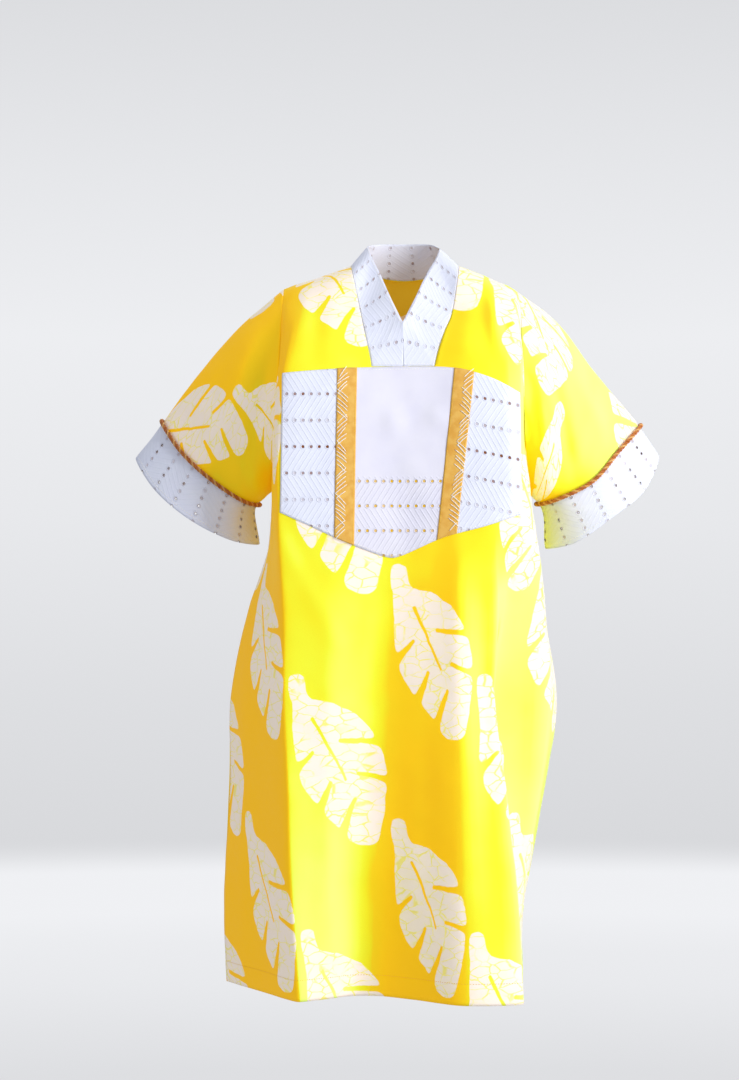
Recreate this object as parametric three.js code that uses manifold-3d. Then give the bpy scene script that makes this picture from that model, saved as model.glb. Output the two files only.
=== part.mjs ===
// A boxy knee-length kaftan in the form it takes when worn, hollow and open at neck, cuffs and hem.
// Millimetres, +Z up, wearer facing -Y. The origin lies between the shoulders, where the body holds it.
// Right and left are the wearer's own: the right side lies towards -X.
// Every piece is a thin wall: a grid of outer points, a second layer one cloth thickness further in.
import * as THREE from "three";
import Module from "manifold-3d";
import { mergeVertices } from "three/addons/utils/BufferGeometryUtils.js";

const CLOTH = 1.6; // wall of the printed cotton
const TRIM_CLOTH = 1.2; // wall of the white and ochre cloth
const CUFF_CLOTH = 2.0; // wall of the doubled cuff
const SEAM = 0.4; // gap where two pieces are sewn together, a little less where a seam turns
const LAY = 0.3; // gap under a piece that is laid on another
const BRAID_RADIUS = 3.2;
const BRAID_STEPS = 48;
const BRAID_SIDES = 6;
const HEM_Z = -983;

// Heights of the sections, measured down from the origin. The first is the shoulder seam,
// the second the crest of the shoulder, and ARMPIT numbers the section through the armpits.
const LEVELS = [0, 12, 30, 75, 121, 180, 240, 290, 364, 450, 580, 690, 790, 890, -HEM_Z];
const CELLS_DOWN = [1, 1, 2, 2, 2, 2, 2, 2, 2, 3, 2, 2, 2, 2];
const NECK_LEVEL = 4;
const ARMPIT = 7;
const CREST_REACH = 0.52; // share of the way to the third section that the crest stands forward
const CREST_DROP = 0.2; // and the share that it has dropped

// A row for each vertical fold line of the front, from the right side seam to the left one.
// top is [x, z] on the shoulder seam; x and y are at the third section and each one below it.
// crease is 0 for a round fold and 1 for a sharp one.
const FRONT_FOLDS = [
  { name: "edge_r", crease: 0, cells: 3, top: [-165, -6],
    x: [-166, -168, -170, -172, -176, -182, -187, -213, -241, -243, -248, -251, -248],
    y: [-42, -70, -86, -92, -68, 5, 10, 18, 30, 36, 44, 50, 56] },
  { name: "flank_r", crease: 0, cells: 3, top: [-149, 0],
    x: [-157, -163, -169, -174, -177, -178, -180, -190, -203, -202, -202, -200, -197],
    y: [-52, -86, -106, -116, -110, -86, -72, -62, -58, -52, -48, -42, -38] },
  { name: "ridge_r", crease: 0.65, cells: 3, top: [-129, 6],
    x: [-141, -152, -161, -167, -170, -170, -168, -162, -161, -156, -153, -147, -140],
    y: [-62, -100, -124, -139, -145, -147, -148, -146, -145, -142, -138, -134, -130] },
  { name: "plane_r", crease: 0, cells: 2, top: [-100, 16],
    x: [-103, -106, -106, -106, -106, -106, -106, -108, -108, -106, -106, -102, -98],
    y: [-67, -102, -124, -138, -143, -144, -144, -143, -138, -128, -120, -110, -100] },
  { name: "neck_r", crease: 0, cells: 3, top: [-72, 26],
    x: [-61, -52, -43, -44, -45, -46, -47, -54, -58, -62, -68, -70, -70],
    y: [-66, -98, -119, -133, -137, -138, -138, -134, -128, -114, -103, -90, -78] },
  { name: "centre", crease: 0, cells: 3, top: [4, 26],
    x: [4, 2, 0, -3, -6, -8, -9, -16, -22, -28, -35, -40, -44],
    y: [-66, -98, -118, -131, -135, -135, -135, -130, -125, -112, -102, -88, -75] },
  { name: "neck_l", crease: 0, cells: 2, top: [80, 26],
    x: [71, 56, 43, 42, 41, 40, 40, 30, 24, 22, 20, 18, 16],
    y: [-66, -98, -119, -133, -137, -138, -138, -137, -136, -130, -126, -120, -112] },
  { name: "ridge_l", crease: 0, cells: 2, top: [96, 20],
    x: [92, 88, 84, 82, 80, 80, 79, 72, 70, 73, 76, 79, 82],
    y: [-68, -102, -123, -137, -140, -141, -142, -147, -150, -153, -156, -159, -162] },
  { name: "fold_l", crease: 0.5, cells: 2, top: [114, 13],
    x: [114, 116, 118, 120, 121, 122, 124, 128, 126, 139, 150, 158, 163],
    y: [-67, -102, -124, -138, -141, -142, -142, -141, -139, -142, -146, -148, -150] },
  { name: "tuck_l", crease: 0.35, cells: 3, top: [131, 5],
    x: [133, 139, 142, 143, 144, 146, 150, 137, 120, 128, 139, 146, 152],
    y: [-66, -101, -122, -137, -140, -140, -136, -118, -104, -106, -111, -116, -120] },
  { name: "flank_l", crease: 0.45, cells: 3, top: [147, -1],
    x: [150, 157, 160, 161, 162, 166, 181, 195, 203, 191, 173, 161, 163],
    y: [-58, -94, -114, -127, -130, -128, -106, -64, -58, -62, -62, -66, -66] },
  { name: "edge_l", crease: 0, cells: 0, top: [160, -9],
    x: [163, 164, 166, 167, 169, 172, 180, 196, 216, 203, 184, 170, 170],
    y: [-42, -68, -82, -88, -66, 5, 5, 5, 2, 6, 10, 14, 16] },
];

// The same for the back, from the right side seam round to the left one.
// The nape folds start on the scoop of the back neck, so their top has a y as well.
const BACK_FOLDS = [
  { name: "edge_r", crease: 0, cells: 3, top: [-165, -6],
    x: [-166, -168, -170, -172, -176, -182, -187, -213, -241, -243, -248, -251, -248],
    y: [38, 62, 75, 80, 62, 5, 10, 18, 30, 36, 44, 50, 56] },
  { name: "corner_r", crease: 0.2, cells: 3, top: [-132, 5],
    x: [-138, -142, -146, -150, -154, -160, -165, -180, -194, -194, -194, -194, -192],
    y: [56, 84, 98, 106, 106, 100, 98, 100, 112, 122, 132, 140, 146] },
  { name: "fold_r", crease: 0, cells: 2, top: [-102, 15],
    x: [-108, -110, -112, -114, -116, -118, -122, -130, -138, -138, -136, -134, -130],
    y: [66, 92, 106, 114, 118, 120, 122, 128, 140, 150, 158, 166, 172] },
  { name: "neck_r", crease: 0, cells: 2, top: [-72, 26],
    x: [-78, -78, -78, -78, -80, -82, -84, -88, -90, -88, -86, -84, -82],
    y: [71, 95, 108, 114, 116, 116, 114, 112, 112, 114, 116, 120, 122] },
  { name: "nape_r", crease: 0, cells: 2, top: [-46, 17], topY: 42,
    x: [-42, -42, -40, -38, -38, -40, -42, -44, -44, -44, -42, -40, -38],
    y: [76, 96, 106, 108, 108, 107, 104, 102, 104, 108, 112, 116, 120] },
  { name: "centre", crease: 0, cells: 2, top: [4, 11], topY: 62,
    x: [3, 2, 2, 2, 0, 0, -2, -4, -4, -4, -2, 0, 2],
    y: [78, 96, 104, 108, 108, 108, 110, 116, 128, 138, 146, 154, 160] },
  { name: "nape_l", crease: 0, cells: 2, top: [54, 17], topY: 42,
    x: [48, 46, 44, 42, 42, 42, 42, 42, 46, 48, 48, 48, 48],
    y: [76, 96, 106, 110, 112, 114, 118, 126, 140, 150, 158, 164, 168] },
  { name: "neck_l", crease: 0, cells: 2, top: [80, 26],
    x: [82, 82, 82, 82, 82, 84, 86, 88, 90, 90, 88, 86, 84],
    y: [71, 95, 108, 115, 118, 120, 122, 122, 122, 124, 126, 128, 130] },
  { name: "fold_l", crease: 0, cells: 3, top: [104, 17],
    x: [108, 110, 112, 114, 116, 118, 122, 126, 132, 130, 126, 122, 118],
    y: [66, 92, 105, 112, 115, 116, 114, 112, 114, 120, 124, 128, 130] },
  { name: "corner_l", crease: 0.2, cells: 3, top: [130, 6],
    x: [135, 138, 140, 144, 147, 152, 158, 168, 176, 168, 158, 152, 148],
    y: [56, 84, 98, 105, 105, 100, 98, 104, 112, 122, 128, 132, 134] },
  { name: "edge_l", crease: 0, cells: 0, top: [160, -9],
    x: [163, 164, 166, 167, 169, 172, 180, 196, 216, 203, 184, 170, 170],
    y: [38, 60, 73, 78, 60, 5, 5, 5, 2, 6, 10, 14, 16] },
];

// Sections of each sleeve beyond the armhole, a row for each line along the sleeve. Going round,
// they run from the top down the front, under the arm and up the back. upper and middle are
// sections of the sleeve, seam the cuff seam and mouth the open edge of the cuff.
const SLEEVE_RIGHT = [
  { name: "top", upper: [-220, 0, -53], middle: [-280, 0, -119], seam: [-334, 0, -192],
    mouth: [-372, 0, -242] },
  { name: "front_top", upper: [-222, -62, -104], middle: [-268, -52, -170], seam: [-307, -38, -233],
    mouth: [-344, -40, -287] },
  { name: "front", upper: [-206, -84, -172], middle: [-240, -70, -226], seam: [-267, -54, -271],
    mouth: [-292, -58, -330] },
  { name: "front_low", upper: [-190, -70, -246], middle: [-206, -58, -280], seam: [-221, -42, -302],
    mouth: [-232, -46, -359] },
  { name: "under", upper: [-188, 2, -294], middle: [-194, 0, -300], seam: [-201, -2, -306],
    mouth: [-199, -8, -363] },
  { name: "back_low", upper: [-190, 62, -240], middle: [-206, 52, -272], seam: [-222, 38, -292],
    mouth: [-228, 38, -348] },
  { name: "back", upper: [-206, 76, -166], middle: [-238, 64, -216], seam: [-262, 50, -252],
    mouth: [-284, 54, -308] },
  { name: "back_top", upper: [-222, 54, -100], middle: [-267, 46, -162], seam: [-305, 36, -222],
    mouth: [-338, 38, -270] },
];

const SLEEVE_LEFT = [
  { name: "top", upper: [216, 0, -53], middle: [275, 0, -129], seam: [332, 0, -198],
    mouth: [360, 0, -238] },
  { name: "front_top", upper: [216, -62, -110], middle: [257, -52, -176], seam: [296, -38, -238],
    mouth: [335, -40, -290] },
  { name: "front", upper: [199, -84, -176], middle: [231, -70, -230], seam: [262, -54, -276],
    mouth: [287, -58, -328] },
  { name: "front_low", upper: [182, -70, -248], middle: [197, -58, -280], seam: [213, -42, -300],
    mouth: [239, -46, -361] },
  { name: "under", upper: [178, 2, -293], middle: [184, 0, -299], seam: [190, -2, -305],
    mouth: [200, -8, -369] },
  { name: "back_low", upper: [182, 62, -242], middle: [197, 52, -272], seam: [213, 38, -291],
    mouth: [234, 38, -350] },
  { name: "back", upper: [199, 76, -168], middle: [229, 64, -218], seam: [257, 50, -256],
    mouth: [278, 54, -308] },
  { name: "back_top", upper: [216, 54, -104], middle: [256, 46, -166], seam: [294, 36, -226],
    mouth: [329, 38, -272] },
];
const CELLS_ALONG_SLEEVE = 7;
const CELLS_ALONG_CUFF = 3;

// Free edge of the neck bands. It stands up at the side of the neck and runs down to the V.
const NECK_EDGE_RIGHT = [
  [-48, 8, 55], [-42, -14, 37], [-32, -35, 15], [-17, -70, -22], [-3.5, -93, -52], [0, -99, -59.5],
];
const NECK_EDGE_LEFT = [
  [53, 8, 52], [47, -14, 36], [35, -35, 15], [18, -70, -22], [3.5, -93, -52], [0, -99, -59.5],
];
const NECK_EDGE_BACK = [[-48, 8, 55], [-36, 36, 60], [3, 52, 62], [41, 36, 60], [53, 8, 52]];
const CORNER_SHARE = 0.8; // share of the free edge that is spent where the sewn edge turns its corner
const CELLS_ACROSS_BAND = 3;

// The bib, in the chest's own x and z. Each column is [x, z] at its top and at its bottom.
const BIB_COLUMNS = [
  { name: "right_edge", top: [-163, -131], bottom: [-166, -320] },
  { name: "right_middle", top: [-120, -127], bottom: [-124, -339] },
  { name: "right_join", top: [-76, -124], bottom: [-80, -359] },
  { name: "point", top: [-4, -122.5], bottom: [-15, -381] },
  { name: "left_join", top: [83, -126], bottom: [59, -352] },
  { name: "left_middle", top: [124, -139], bottom: [112, -338] },
  { name: "left_edge", top: [158, -157], bottom: [160, -322] },
];
const STRIP_WIDTH = 27;
const BIB_LIFT = LAY;
const STRIP_LIFT = LAY + TRIM_CLOTH + LAY; // the strips lie on the bib
const BIB_STEPS = 3; // straight steps of the bib's edge from one column to the next
const POINT_CREASE = 0.4;
const CHEST_DEPTH = 300; // deeper than the body stands forward of the shoulders

const COLOURS = {
  print: { color: 0xf5dc1e, roughness: 0.8 },
  eyelet: { color: 0xf2f3fb, roughness: 0.75 },
  ochre: { color: 0xe0a04a, roughness: 0.7 },
  braid: { color: 0xc9742c, roughness: 0.8 },
};

const wasm = await Module();
wasm.setup();

const V3 = (p) => new THREE.Vector3(...p);

// A smooth run through points at the given knots. crease takes the tangent out at a point,
// which sharpens the fold there; before is an extra point one step ahead of the first.
function spline(knots, points, { crease = [], before = null } = {}) {
  const last = points.length - 1;
  const slope = (i) => points[i + 1].clone().sub(points[i]).divideScalar(knots[i + 1] - knots[i]);
  const tangents = points.map((point, i) => {
    if (i === 0 && before) return points[1].clone().sub(before).divideScalar(2 * (knots[1] - knots[0]));
    if (i === 0) return slope(0);
    if (i === last) return slope(last - 1);
    const share = (knots[i + 1] - knots[i]) / (knots[i + 1] - knots[i - 1]);
    return slope(i - 1).lerp(slope(i), 1 - share);
  });
  tangents.forEach((tangent, i) => tangent.multiplyScalar(1 - (crease[i] ?? 0)));
  return (knot) => {
    let i = 0;
    while (i < last - 1 && knot > knots[i + 1]) i += 1;
    const span = knots[i + 1] - knots[i];
    const t = (knot - knots[i]) / span;
    const rise = t * t * (3 - 2 * t);
    return points[i].clone().multiplyScalar(1 - rise)
      .addScaledVector(points[i + 1], rise)
      .addScaledVector(tangents[i], span * t * (1 - t) * (1 - t))
      .addScaledVector(tangents[i + 1], -span * t * t * (1 - t));
  };
}

// A spline whose knots are the distances between its points, read by point number: 1.5 is half
// way from point 1 to point 2.
function numbered(points, options) {
  const knots = [0];
  points.slice(1).forEach((point, i) => knots.push(knots[i] + Math.max(point.distanceTo(points[i]), 1)));
  const run = spline(knots, points, options);
  return (number) => {
    const i = Math.min(Math.floor(number), points.length - 2);
    return run(knots[i] + (number - i) * (knots[i + 1] - knots[i]));
  };
}

// A closed run through points, read the same way.
function ring(points) {
  const wrap = 2;
  const count = points.length;
  const around = [...points.slice(-wrap), ...points, ...points.slice(0, wrap + 1)];
  const run = numbered(around);
  return (number) => run(wrap + (number % count));
}

// Numbers from first to last in the given cells to each whole step.
function stations(cells) {
  const list = [0];
  cells.forEach((count, step) => {
    for (let k = 1; k <= count; k += 1) list.push(step + k / count);
  });
  return list;
}

// One body panel. at(level, fold) is a point of its outer face, both counted in sections and
// fold lines. An edge turns sharply at the armpit, where the armhole ends and the side seam starts.
function panel(folds) {
  const lines = folds.map(({ name, top, topY = 0, x, y }) => {
    const sections = x.map((value, i) => new THREE.Vector3(value, y[i], -LEVELS[i + 2]));
    const seam = new THREE.Vector3(top[0], topY, top[1]);
    const crest = seam.clone().lerp(sections[0], CREST_DROP);
    crest.y = topY + CREST_REACH * (y[0] - topY);
    const mirrored = new THREE.Vector3(crest.x, 2 * topY - crest.y, crest.z);
    const turns = LEVELS.map((_, level) => (name.startsWith("edge") && level === ARMPIT ? 1 : 0));
    return spline(LEVELS, [seam, crest, ...sections], { before: mirrored, crease: turns });
  });
  const corner = folds.map(({ name }) => (name.startsWith("neck") ? 1 : 0));
  const height = (level) => {
    const i = Math.min(Math.floor(level), LEVELS.length - 2);
    return LEVELS[i] + (level - i) * (LEVELS[i + 1] - LEVELS[i]);
  };
  const across = (depth) => {
    const atTop = 1 - THREE.MathUtils.smoothstep(depth, 0, LEVELS[2]);
    const sharp = THREE.MathUtils.smoothstep(depth, LEVELS[2], LEVELS[NECK_LEVEL]);
    const creases = folds.map(({ crease }, i) => Math.max(crease * sharp, corner[i] * atTop));
    return numbered(lines.map((line) => line(depth)), { crease: creases });
  };
  return { at: (level, fold) => across(height(level))(fold), folds };
}

// A grid of outer points. point(i, j) gives them; hole(i, j) is true for a cell that is cut out.
function grid(columns, rows, point, { closed = false, hole = () => false } = {}) {
  const points = [];
  for (let i = 0; i < columns; i += 1) {
    points.push([]);
    for (let j = 0; j < rows; j += 1) points[i].push(point(i, j));
  }
  const cellColumns = closed ? columns : columns - 1;
  const has = (i, j) => {
    const column = closed ? (i + columns) % columns : i;
    return column >= 0 && column < cellColumns && j >= 0 && j < rows - 1 && !hole(column, j);
  };
  return { columns, rows, points, closed, has, cellColumns, normals: null, shared: new Set() };
}

const wrapped = (sheet, i) => (sheet.closed ? (i + sheet.columns) % sheet.columns : i);

// The four points of a cell, in order round it.
function corners(sheet, i, j) {
  const next = wrapped(sheet, i + 1);
  return [[i, j], [next, j], [next, j + 1], [i, j + 1]];
}

// Outward normals, from the cells round each point.
function addNormals(sheet) {
  sheet.normals = sheet.points.map((column) => column.map(() => new THREE.Vector3()));
  for (let i = 0; i < sheet.cellColumns; i += 1) {
    for (let j = 0; j < sheet.rows - 1; j += 1) {
      if (!sheet.has(i, j)) continue;
      const cell = corners(sheet, i, j);
      const [a, b, c, d] = cell.map(([p, q]) => sheet.points[p][q]);
      const face = new THREE.Vector3().crossVectors(c.clone().sub(a), d.clone().sub(b)).normalize();
      cell.forEach(([p, q]) => sheet.normals[p][q].sub(face));
    }
  }
  sheet.normals.forEach((column) => column.forEach((normal) => normal.normalize()));
}

// Pieces that are sewn together share their seam points: all get the mean normal there, so that
// their cut edges lie face to face. A tube weighs as much as the panels that meet it.
function shareNormals(sheets) {
  const meetings = new Map();
  sheets.forEach((sheet) => sheet.points.forEach((column, i) => column.forEach((point, j) => {
    if (!cellsRound(sheet, i, j).length) return;
    const key = point.toArray().map((value) => value.toFixed(3)).join();
    if (!meetings.has(key)) meetings.set(key, []);
    meetings.get(key).push({ sheet, i, j });
  })));
  meetings.forEach((members) => {
    if (members.length < 2) return;
    const mean = new THREE.Vector3();
    members.forEach(({ sheet, i, j }) => {
      mean.addScaledVector(sheet.normals[i][j], sheet.closed ? members.length - 1 : 1);
    });
    const { sheet: one, i: column, j: row } = members[0];
    if (Math.abs(one.points[column][row].y) < SEAM) mean.setY(0);
    mean.normalize();
    members.forEach(({ sheet, i, j }) => {
      sheet.normals[i][j].copy(mean);
      sheet.shared.add(`${i},${j}`);
    });
  });
}

function cellsRound(sheet, i, j) {
  return [[i - 1, j - 1], [i, j - 1], [i, j], [i - 1, j]].filter(([p, q]) => sheet.has(p, q));
}

// Draws each shared seam point back into its own piece by half the seam's gap.
function openSeams(sheet) {
  const moves = [];
  sheet.shared.forEach((key) => {
    const [i, j] = key.split(",").map(Number);
    const cells = cellsRound(sheet, i, j);
    const inward = new THREE.Vector3();
    cells.forEach(([p, q]) => {
      const centre = new THREE.Vector3();
      const cell = corners(sheet, wrapped(sheet, p), q);
      cell.forEach(([a, b]) => centre.addScaledVector(sheet.points[a][b], 1 / cell.length));
      inward.add(centre.sub(sheet.points[i][j]).normalize());
    });
    const diagonal = cells.length === 2 ? 1 : Math.SQRT2;
    moves.push([sheet.points[i][j], inward.setLength(0.5 * SEAM * diagonal)]);
  });
  moves.forEach(([point, move]) => point.add(move));
}

// Keeps a shoulder seam in the plane between front and back, its cut edge upright.
function squareShoulder(sheet, side) {
  sheet.points.forEach((column, i) => {
    if (Math.abs(column[0].y) > SEAM) return;
    column[0].y = 0.5 * SEAM * side;
    sheet.normals[i][0].setY(0).normalize();
  });
}

// The closed wall of a sheet: outer face, inner face and the cut edges between them.
function wall(sheet, thickness) {
  const position = [];
  const numbers = new Map();
  const vertex = (i, j, inner) => {
    const key = `${i},${j},${inner}`;
    if (!numbers.has(key)) {
      const point = sheet.points[i][j].clone().addScaledVector(sheet.normals[i][j], inner ? -thickness : 0);
      numbers.set(key, position.length / 3);
      position.push(...point.toArray());
    }
    return numbers.get(key);
  };
  const index = [];
  const quad = (a, b, c, d) => index.push(a, b, c, a, c, d);
  for (let i = 0; i < sheet.cellColumns; i += 1) {
    for (let j = 0; j < sheet.rows - 1; j += 1) {
      if (!sheet.has(i, j)) continue;
      const cell = corners(sheet, i, j);
      const outer = cell.map(([p, q]) => vertex(p, q, 0));
      const inner = cell.map(([p, q]) => vertex(p, q, 1));
      quad(outer[0], outer[3], outer[2], outer[1]);
      quad(...inner);
      [[i, j - 1], [i + 1, j], [i, j + 1], [i - 1, j]].forEach(([p, q], side) => {
        const next = (side + 1) % 4;
        if (!sheet.has(p, q)) quad(outer[side], outer[next], inner[next], inner[side]);
      });
    }
  }
  const geometry = new THREE.BufferGeometry();
  geometry.setAttribute("position", new THREE.Float32BufferAttribute(position, 3));
  geometry.setIndex(index);
  return geometry;
}

const front = panel(FRONT_FOLDS);
const back = panel(BACK_FOLDS);
const levels = stations(CELLS_DOWN);
const armpitRow = levels.indexOf(ARMPIT);
const neckRow = levels.indexOf(NECK_LEVEL);

const foldNumber = (folds, name) => folds.findIndex((fold) => fold.name === name);

// The outer points of a body panel. The back is read from its last fold to its first, so that
// both panels run from left to right when each is seen from outside.
function bodySheet({ at, folds }, { reversed = false, hole } = {}) {
  const across = stations(folds.slice(0, -1).map(({ cells }) => cells));
  if (reversed) across.reverse();
  return grid(across.length, levels.length, (i, j) => at(levels[j], across[i]), {
    hole: hole && ((i, j) => hole(across[i], levels[j])),
  });
}

// The front has its neck cut out between the two neck lines, down to the neck level.
function inFrontNeck(fold, level) {
  const [first, last] = ["neck_r", "neck_l"].map((name) => foldNumber(FRONT_FOLDS, name));
  return fold >= first && fold < last && level < NECK_LEVEL;
}

// A sleeve starts on the armhole edges of the front and back and runs to the cuff seam.
// side is 0 on the right, where the panels' first fold is, and 1 on the left.
function sleeveSheets(table, side) {
  const turn = (i) => 1 - Math.abs(i / armpitRow - 1);
  const around = 2 * armpitRow;
  const edge = (of, inset, row) => {
    const last = of.folds.length - 1;
    return of.at(levels[row], side ? last - inset : inset);
  };
  const armhole = (i, inset) => (i <= armpitRow ? edge(front, inset, i) : edge(back, inset, around - i));
  const columns = ["upper", "middle", "seam", "mouth"];
  const sections = columns.map((column) => ring(table.map((row) => V3(row[column]))));
  const number = (i) => (i * table.length) / around;
  const line = (i) => {
    const start = armhole(i, 0);
    const [upper, middle, seam, mouth] = sections.map((section) => section(number(i)));
    const smooth = THREE.MathUtils.smoothstep(1 - 2 * turn(i), 0, 1);
    const mirrored = start.clone().multiplyScalar(2).sub(upper);
    const before = mirrored.lerp(armhole(i, 0.5), smooth);
    return numbered([start, upper, middle, seam, mouth], { before });
  };
  const lines = Array.from({ length: around }, (_, i) => line(i));
  const wind = side ? (i) => (around - i) % around : (i) => i;
  const sleeve = grid(around, CELLS_ALONG_SLEEVE + 1,
    (i, j) => lines[wind(i)]((3 * j) / CELLS_ALONG_SLEEVE), { closed: true });
  const cuff = grid(around, CELLS_ALONG_CUFF + 1,
    (i, j) => lines[wind(i)](3 + j / CELLS_ALONG_CUFF), { closed: true });
  return { sleeve, cuff };
}

// A braid is a round cord closed on itself, laid on the sleeve just above the cuff seam.
function braid(sheet) {
  const seamRow = sheet.rows - 1;
  const run = (row) => ring(sheet.points.map((column) => column[row]));
  const lift = ring(sheet.points.map((column, i) => sheet.normals[i][seamRow]));
  const [onSeam, above] = [run(seamRow), run(seamRow - 1)];
  const position = [];
  const index = [];
  for (let i = 0; i < BRAID_STEPS; i += 1) {
    const number = (i * sheet.columns) / BRAID_STEPS;
    const outward = lift(number).normalize();
    const along = above(number).sub(onSeam(number)).projectOnPlane(outward).normalize();
    const centre = onSeam(number).addScaledVector(outward, BRAID_RADIUS + LAY);
    for (let k = 0; k < BRAID_SIDES; k += 1) {
      const angle = (2 * Math.PI * k) / BRAID_SIDES;
      const point = centre.clone().addScaledVector(outward, BRAID_RADIUS * Math.cos(angle))
        .addScaledVector(along, BRAID_RADIUS * Math.sin(angle));
      position.push(...point.toArray());
      const [here, there] = [i * BRAID_SIDES, ((i + 1) % BRAID_STEPS) * BRAID_SIDES];
      const up = (k + 1) % BRAID_SIDES;
      index.push(here + k, there + k, there + up, here + k, there + up, here + up);
    }
  }
  const geometry = new THREE.BufferGeometry();
  geometry.setAttribute("position", new THREE.Float32BufferAttribute(position, 3));
  geometry.setIndex(index);
  return geometry;
}

// A neck band fills the space between its sewn edge, given as points, and its free edge.
// shares gives how far along the free edge each sewn point looks across to.
function bandSheet(sewn, freeEdge, shares, reversed) {
  const free = numbered(freeEdge.map(V3));
  const steps = freeEdge.length - 1;
  const order = (i) => (reversed ? sewn.length - 1 - i : i);
  return grid(sewn.length, CELLS_ACROSS_BAND + 1, (i, j) => {
    const k = order(i);
    return free(steps * shares[k]).lerp(sewn[k], j / CELLS_ACROSS_BAND);
  });
}

// The front band's sewn edge runs down one neck line, then along the neck's bottom to the centre.
function frontBand(lineName, freeEdge, reversed) {
  const line = foldNumber(FRONT_FOLDS, lineName);
  const centre = foldNumber(FRONT_FOLDS, "centre");
  const cells = FRONT_FOLDS[Math.min(line, centre)].cells;
  const down = levels.slice(0, neckRow + 1).map((level) => front.at(level, line));
  const inward = Array.from({ length: cells },
    (_, k) => front.at(NECK_LEVEL, line + ((centre - line) * (k + 1)) / cells));
  const shares = [
    ...down.map((_, k) => (CORNER_SHARE * k) / neckRow),
    ...inward.map((_, k) => CORNER_SHARE + ((1 - CORNER_SHARE) * (k + 1)) / cells),
  ];
  return bandSheet([...down, ...inward], freeEdge, shares, reversed);
}

function backBand() {
  const [first, last] = ["neck_r", "neck_l"].map((name) => foldNumber(BACK_FOLDS, name));
  const across = stations(BACK_FOLDS.slice(0, -1).map(({ cells }) => cells))
    .filter((fold) => fold >= first && fold <= last);
  const shares = across.map((fold) => (fold - first) / (last - first));
  return bandSheet(across.map((fold) => back.at(0, fold)), NECK_EDGE_BACK, shares, true);
}

// The closed solid between two offsets of a sheet, as a manifold.
function solid(geometry) {
  const bare = geometry.clone();
  bare.deleteAttribute("normal");
  bare.deleteAttribute("uv");
  const merged = mergeVertices(bare);
  return new wasm.Manifold(new wasm.Mesh({
    numProp: 3,
    vertProperties: new Float32Array(merged.getAttribute("position").array),
    triVerts: new Uint32Array(merged.getIndex().array),
  }));
}

// A piece laid on the front: the front's own points moved out by lift, cut to an outline of
// [x, z] corners.
function laidPiece(outline, lift) {
  const moved = { ...sewn.front, points: sewn.front.points.map((column, i) => column.map(
    (point, j) => point.clone().addScaledVector(sewn.front.normals[i][j], lift + TRIM_CLOTH))) };
  const shape = new THREE.Shape(outline.map(([x, z]) => new THREE.Vector2(x, z)));
  const prism = new THREE.ExtrudeGeometry(shape, { depth: CHEST_DEPTH, bevelEnabled: false });
  prism.rotateX(Math.PI / 2);
  const cut = solid(wall(moved, TRIM_CLOTH)).intersect(solid(prism)).getMesh();
  const geometry = new THREE.BufferGeometry();
  geometry.setAttribute("position", new THREE.Float32BufferAttribute(cut.vertProperties, cut.numProp));
  geometry.setIndex(Array.from(cut.triVerts));
  return geometry;
}

// Smooth top and bottom edges of the bib, read by column number; the point stays sharp.
const bibEdge = (end) => numbered(
  BIB_COLUMNS.map((column) => new THREE.Vector3(column[end][0], 0, column[end][1])),
  { crease: BIB_COLUMNS.map(({ name }) => (name === "point" ? POINT_CREASE : 0)) },
);
const bibTop = bibEdge("top");
const bibBottom = bibEdge("bottom");
const bibNumber = (name) => BIB_COLUMNS.findIndex((column) => column.name === name);

// The bib from one column to another, its sides drawn in by the seam gap where asked.
function bibPiece(from, to, gapFrom, gapTo) {
  const [first, last] = [bibNumber(from), bibNumber(to)];
  const steps = (last - first) * BIB_STEPS;
  const edge = (run) => Array.from({ length: steps + 1 }, (_, k) => {
    const point = run(first + k / BIB_STEPS);
    const gap = (k === 0 ? gapFrom : 0) - (k === steps ? gapTo : 0);
    return [point.x + gap, point.z];
  });
  return laidPiece([...edge(bibBottom), ...edge(bibTop).reverse()], BIB_LIFT);
}

// A strip covers a join of the bib from top to bottom.
function strip(name) {
  const number = bibNumber(name);
  const [top, bottom] = [bibTop(number), bibBottom(number)];
  const half = STRIP_WIDTH / 2;
  return laidPiece([[bottom.x - half, bottom.z], [bottom.x + half, bottom.z],
    [top.x + half, top.z], [top.x - half, top.z]], STRIP_LIFT);
}

const sewn = {
  front: bodySheet(front, { hole: inFrontNeck }),
  back: bodySheet(back, { reversed: true }),
  neck_band_right: frontBand("neck_r", NECK_EDGE_RIGHT, false),
  neck_band_left: frontBand("neck_l", NECK_EDGE_LEFT, true),
  neck_band_back: backBand(),
};
[["right", SLEEVE_RIGHT, 0], ["left", SLEEVE_LEFT, 1]].forEach(([side, table, number]) => {
  const { sleeve, cuff } = sleeveSheets(table, number);
  sewn[`sleeve_${side}`] = sleeve;
  sewn[`cuff_${side}`] = cuff;
});

const sheets = Object.values(sewn);
sheets.forEach(addNormals);
shareNormals(sheets);
const braids = {
  braid_right: braid(sewn.sleeve_right),
  braid_left: braid(sewn.sleeve_left),
};
sheets.forEach(openSeams);
squareShoulder(sewn.front, -1);
squareShoulder(sewn.back, 1);

const THICKNESS = { neck: TRIM_CLOTH, cuff: CUFF_CLOTH };
const geometries = {
  ...braids,
  bib_right: bibPiece("right_edge", "right_join", 0, SEAM / 2),
  bib_centre: bibPiece("right_join", "left_join", SEAM / 2, SEAM / 2),
  bib_left: bibPiece("left_join", "left_edge", SEAM / 2, 0),
  strip_right: strip("right_join"),
  strip_left: strip("left_join"),
};
Object.entries(sewn).forEach(([name, sheet]) => {
  geometries[name] = wall(sheet, THICKNESS[name.split("_")[0]] ?? CLOTH);
});

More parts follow.
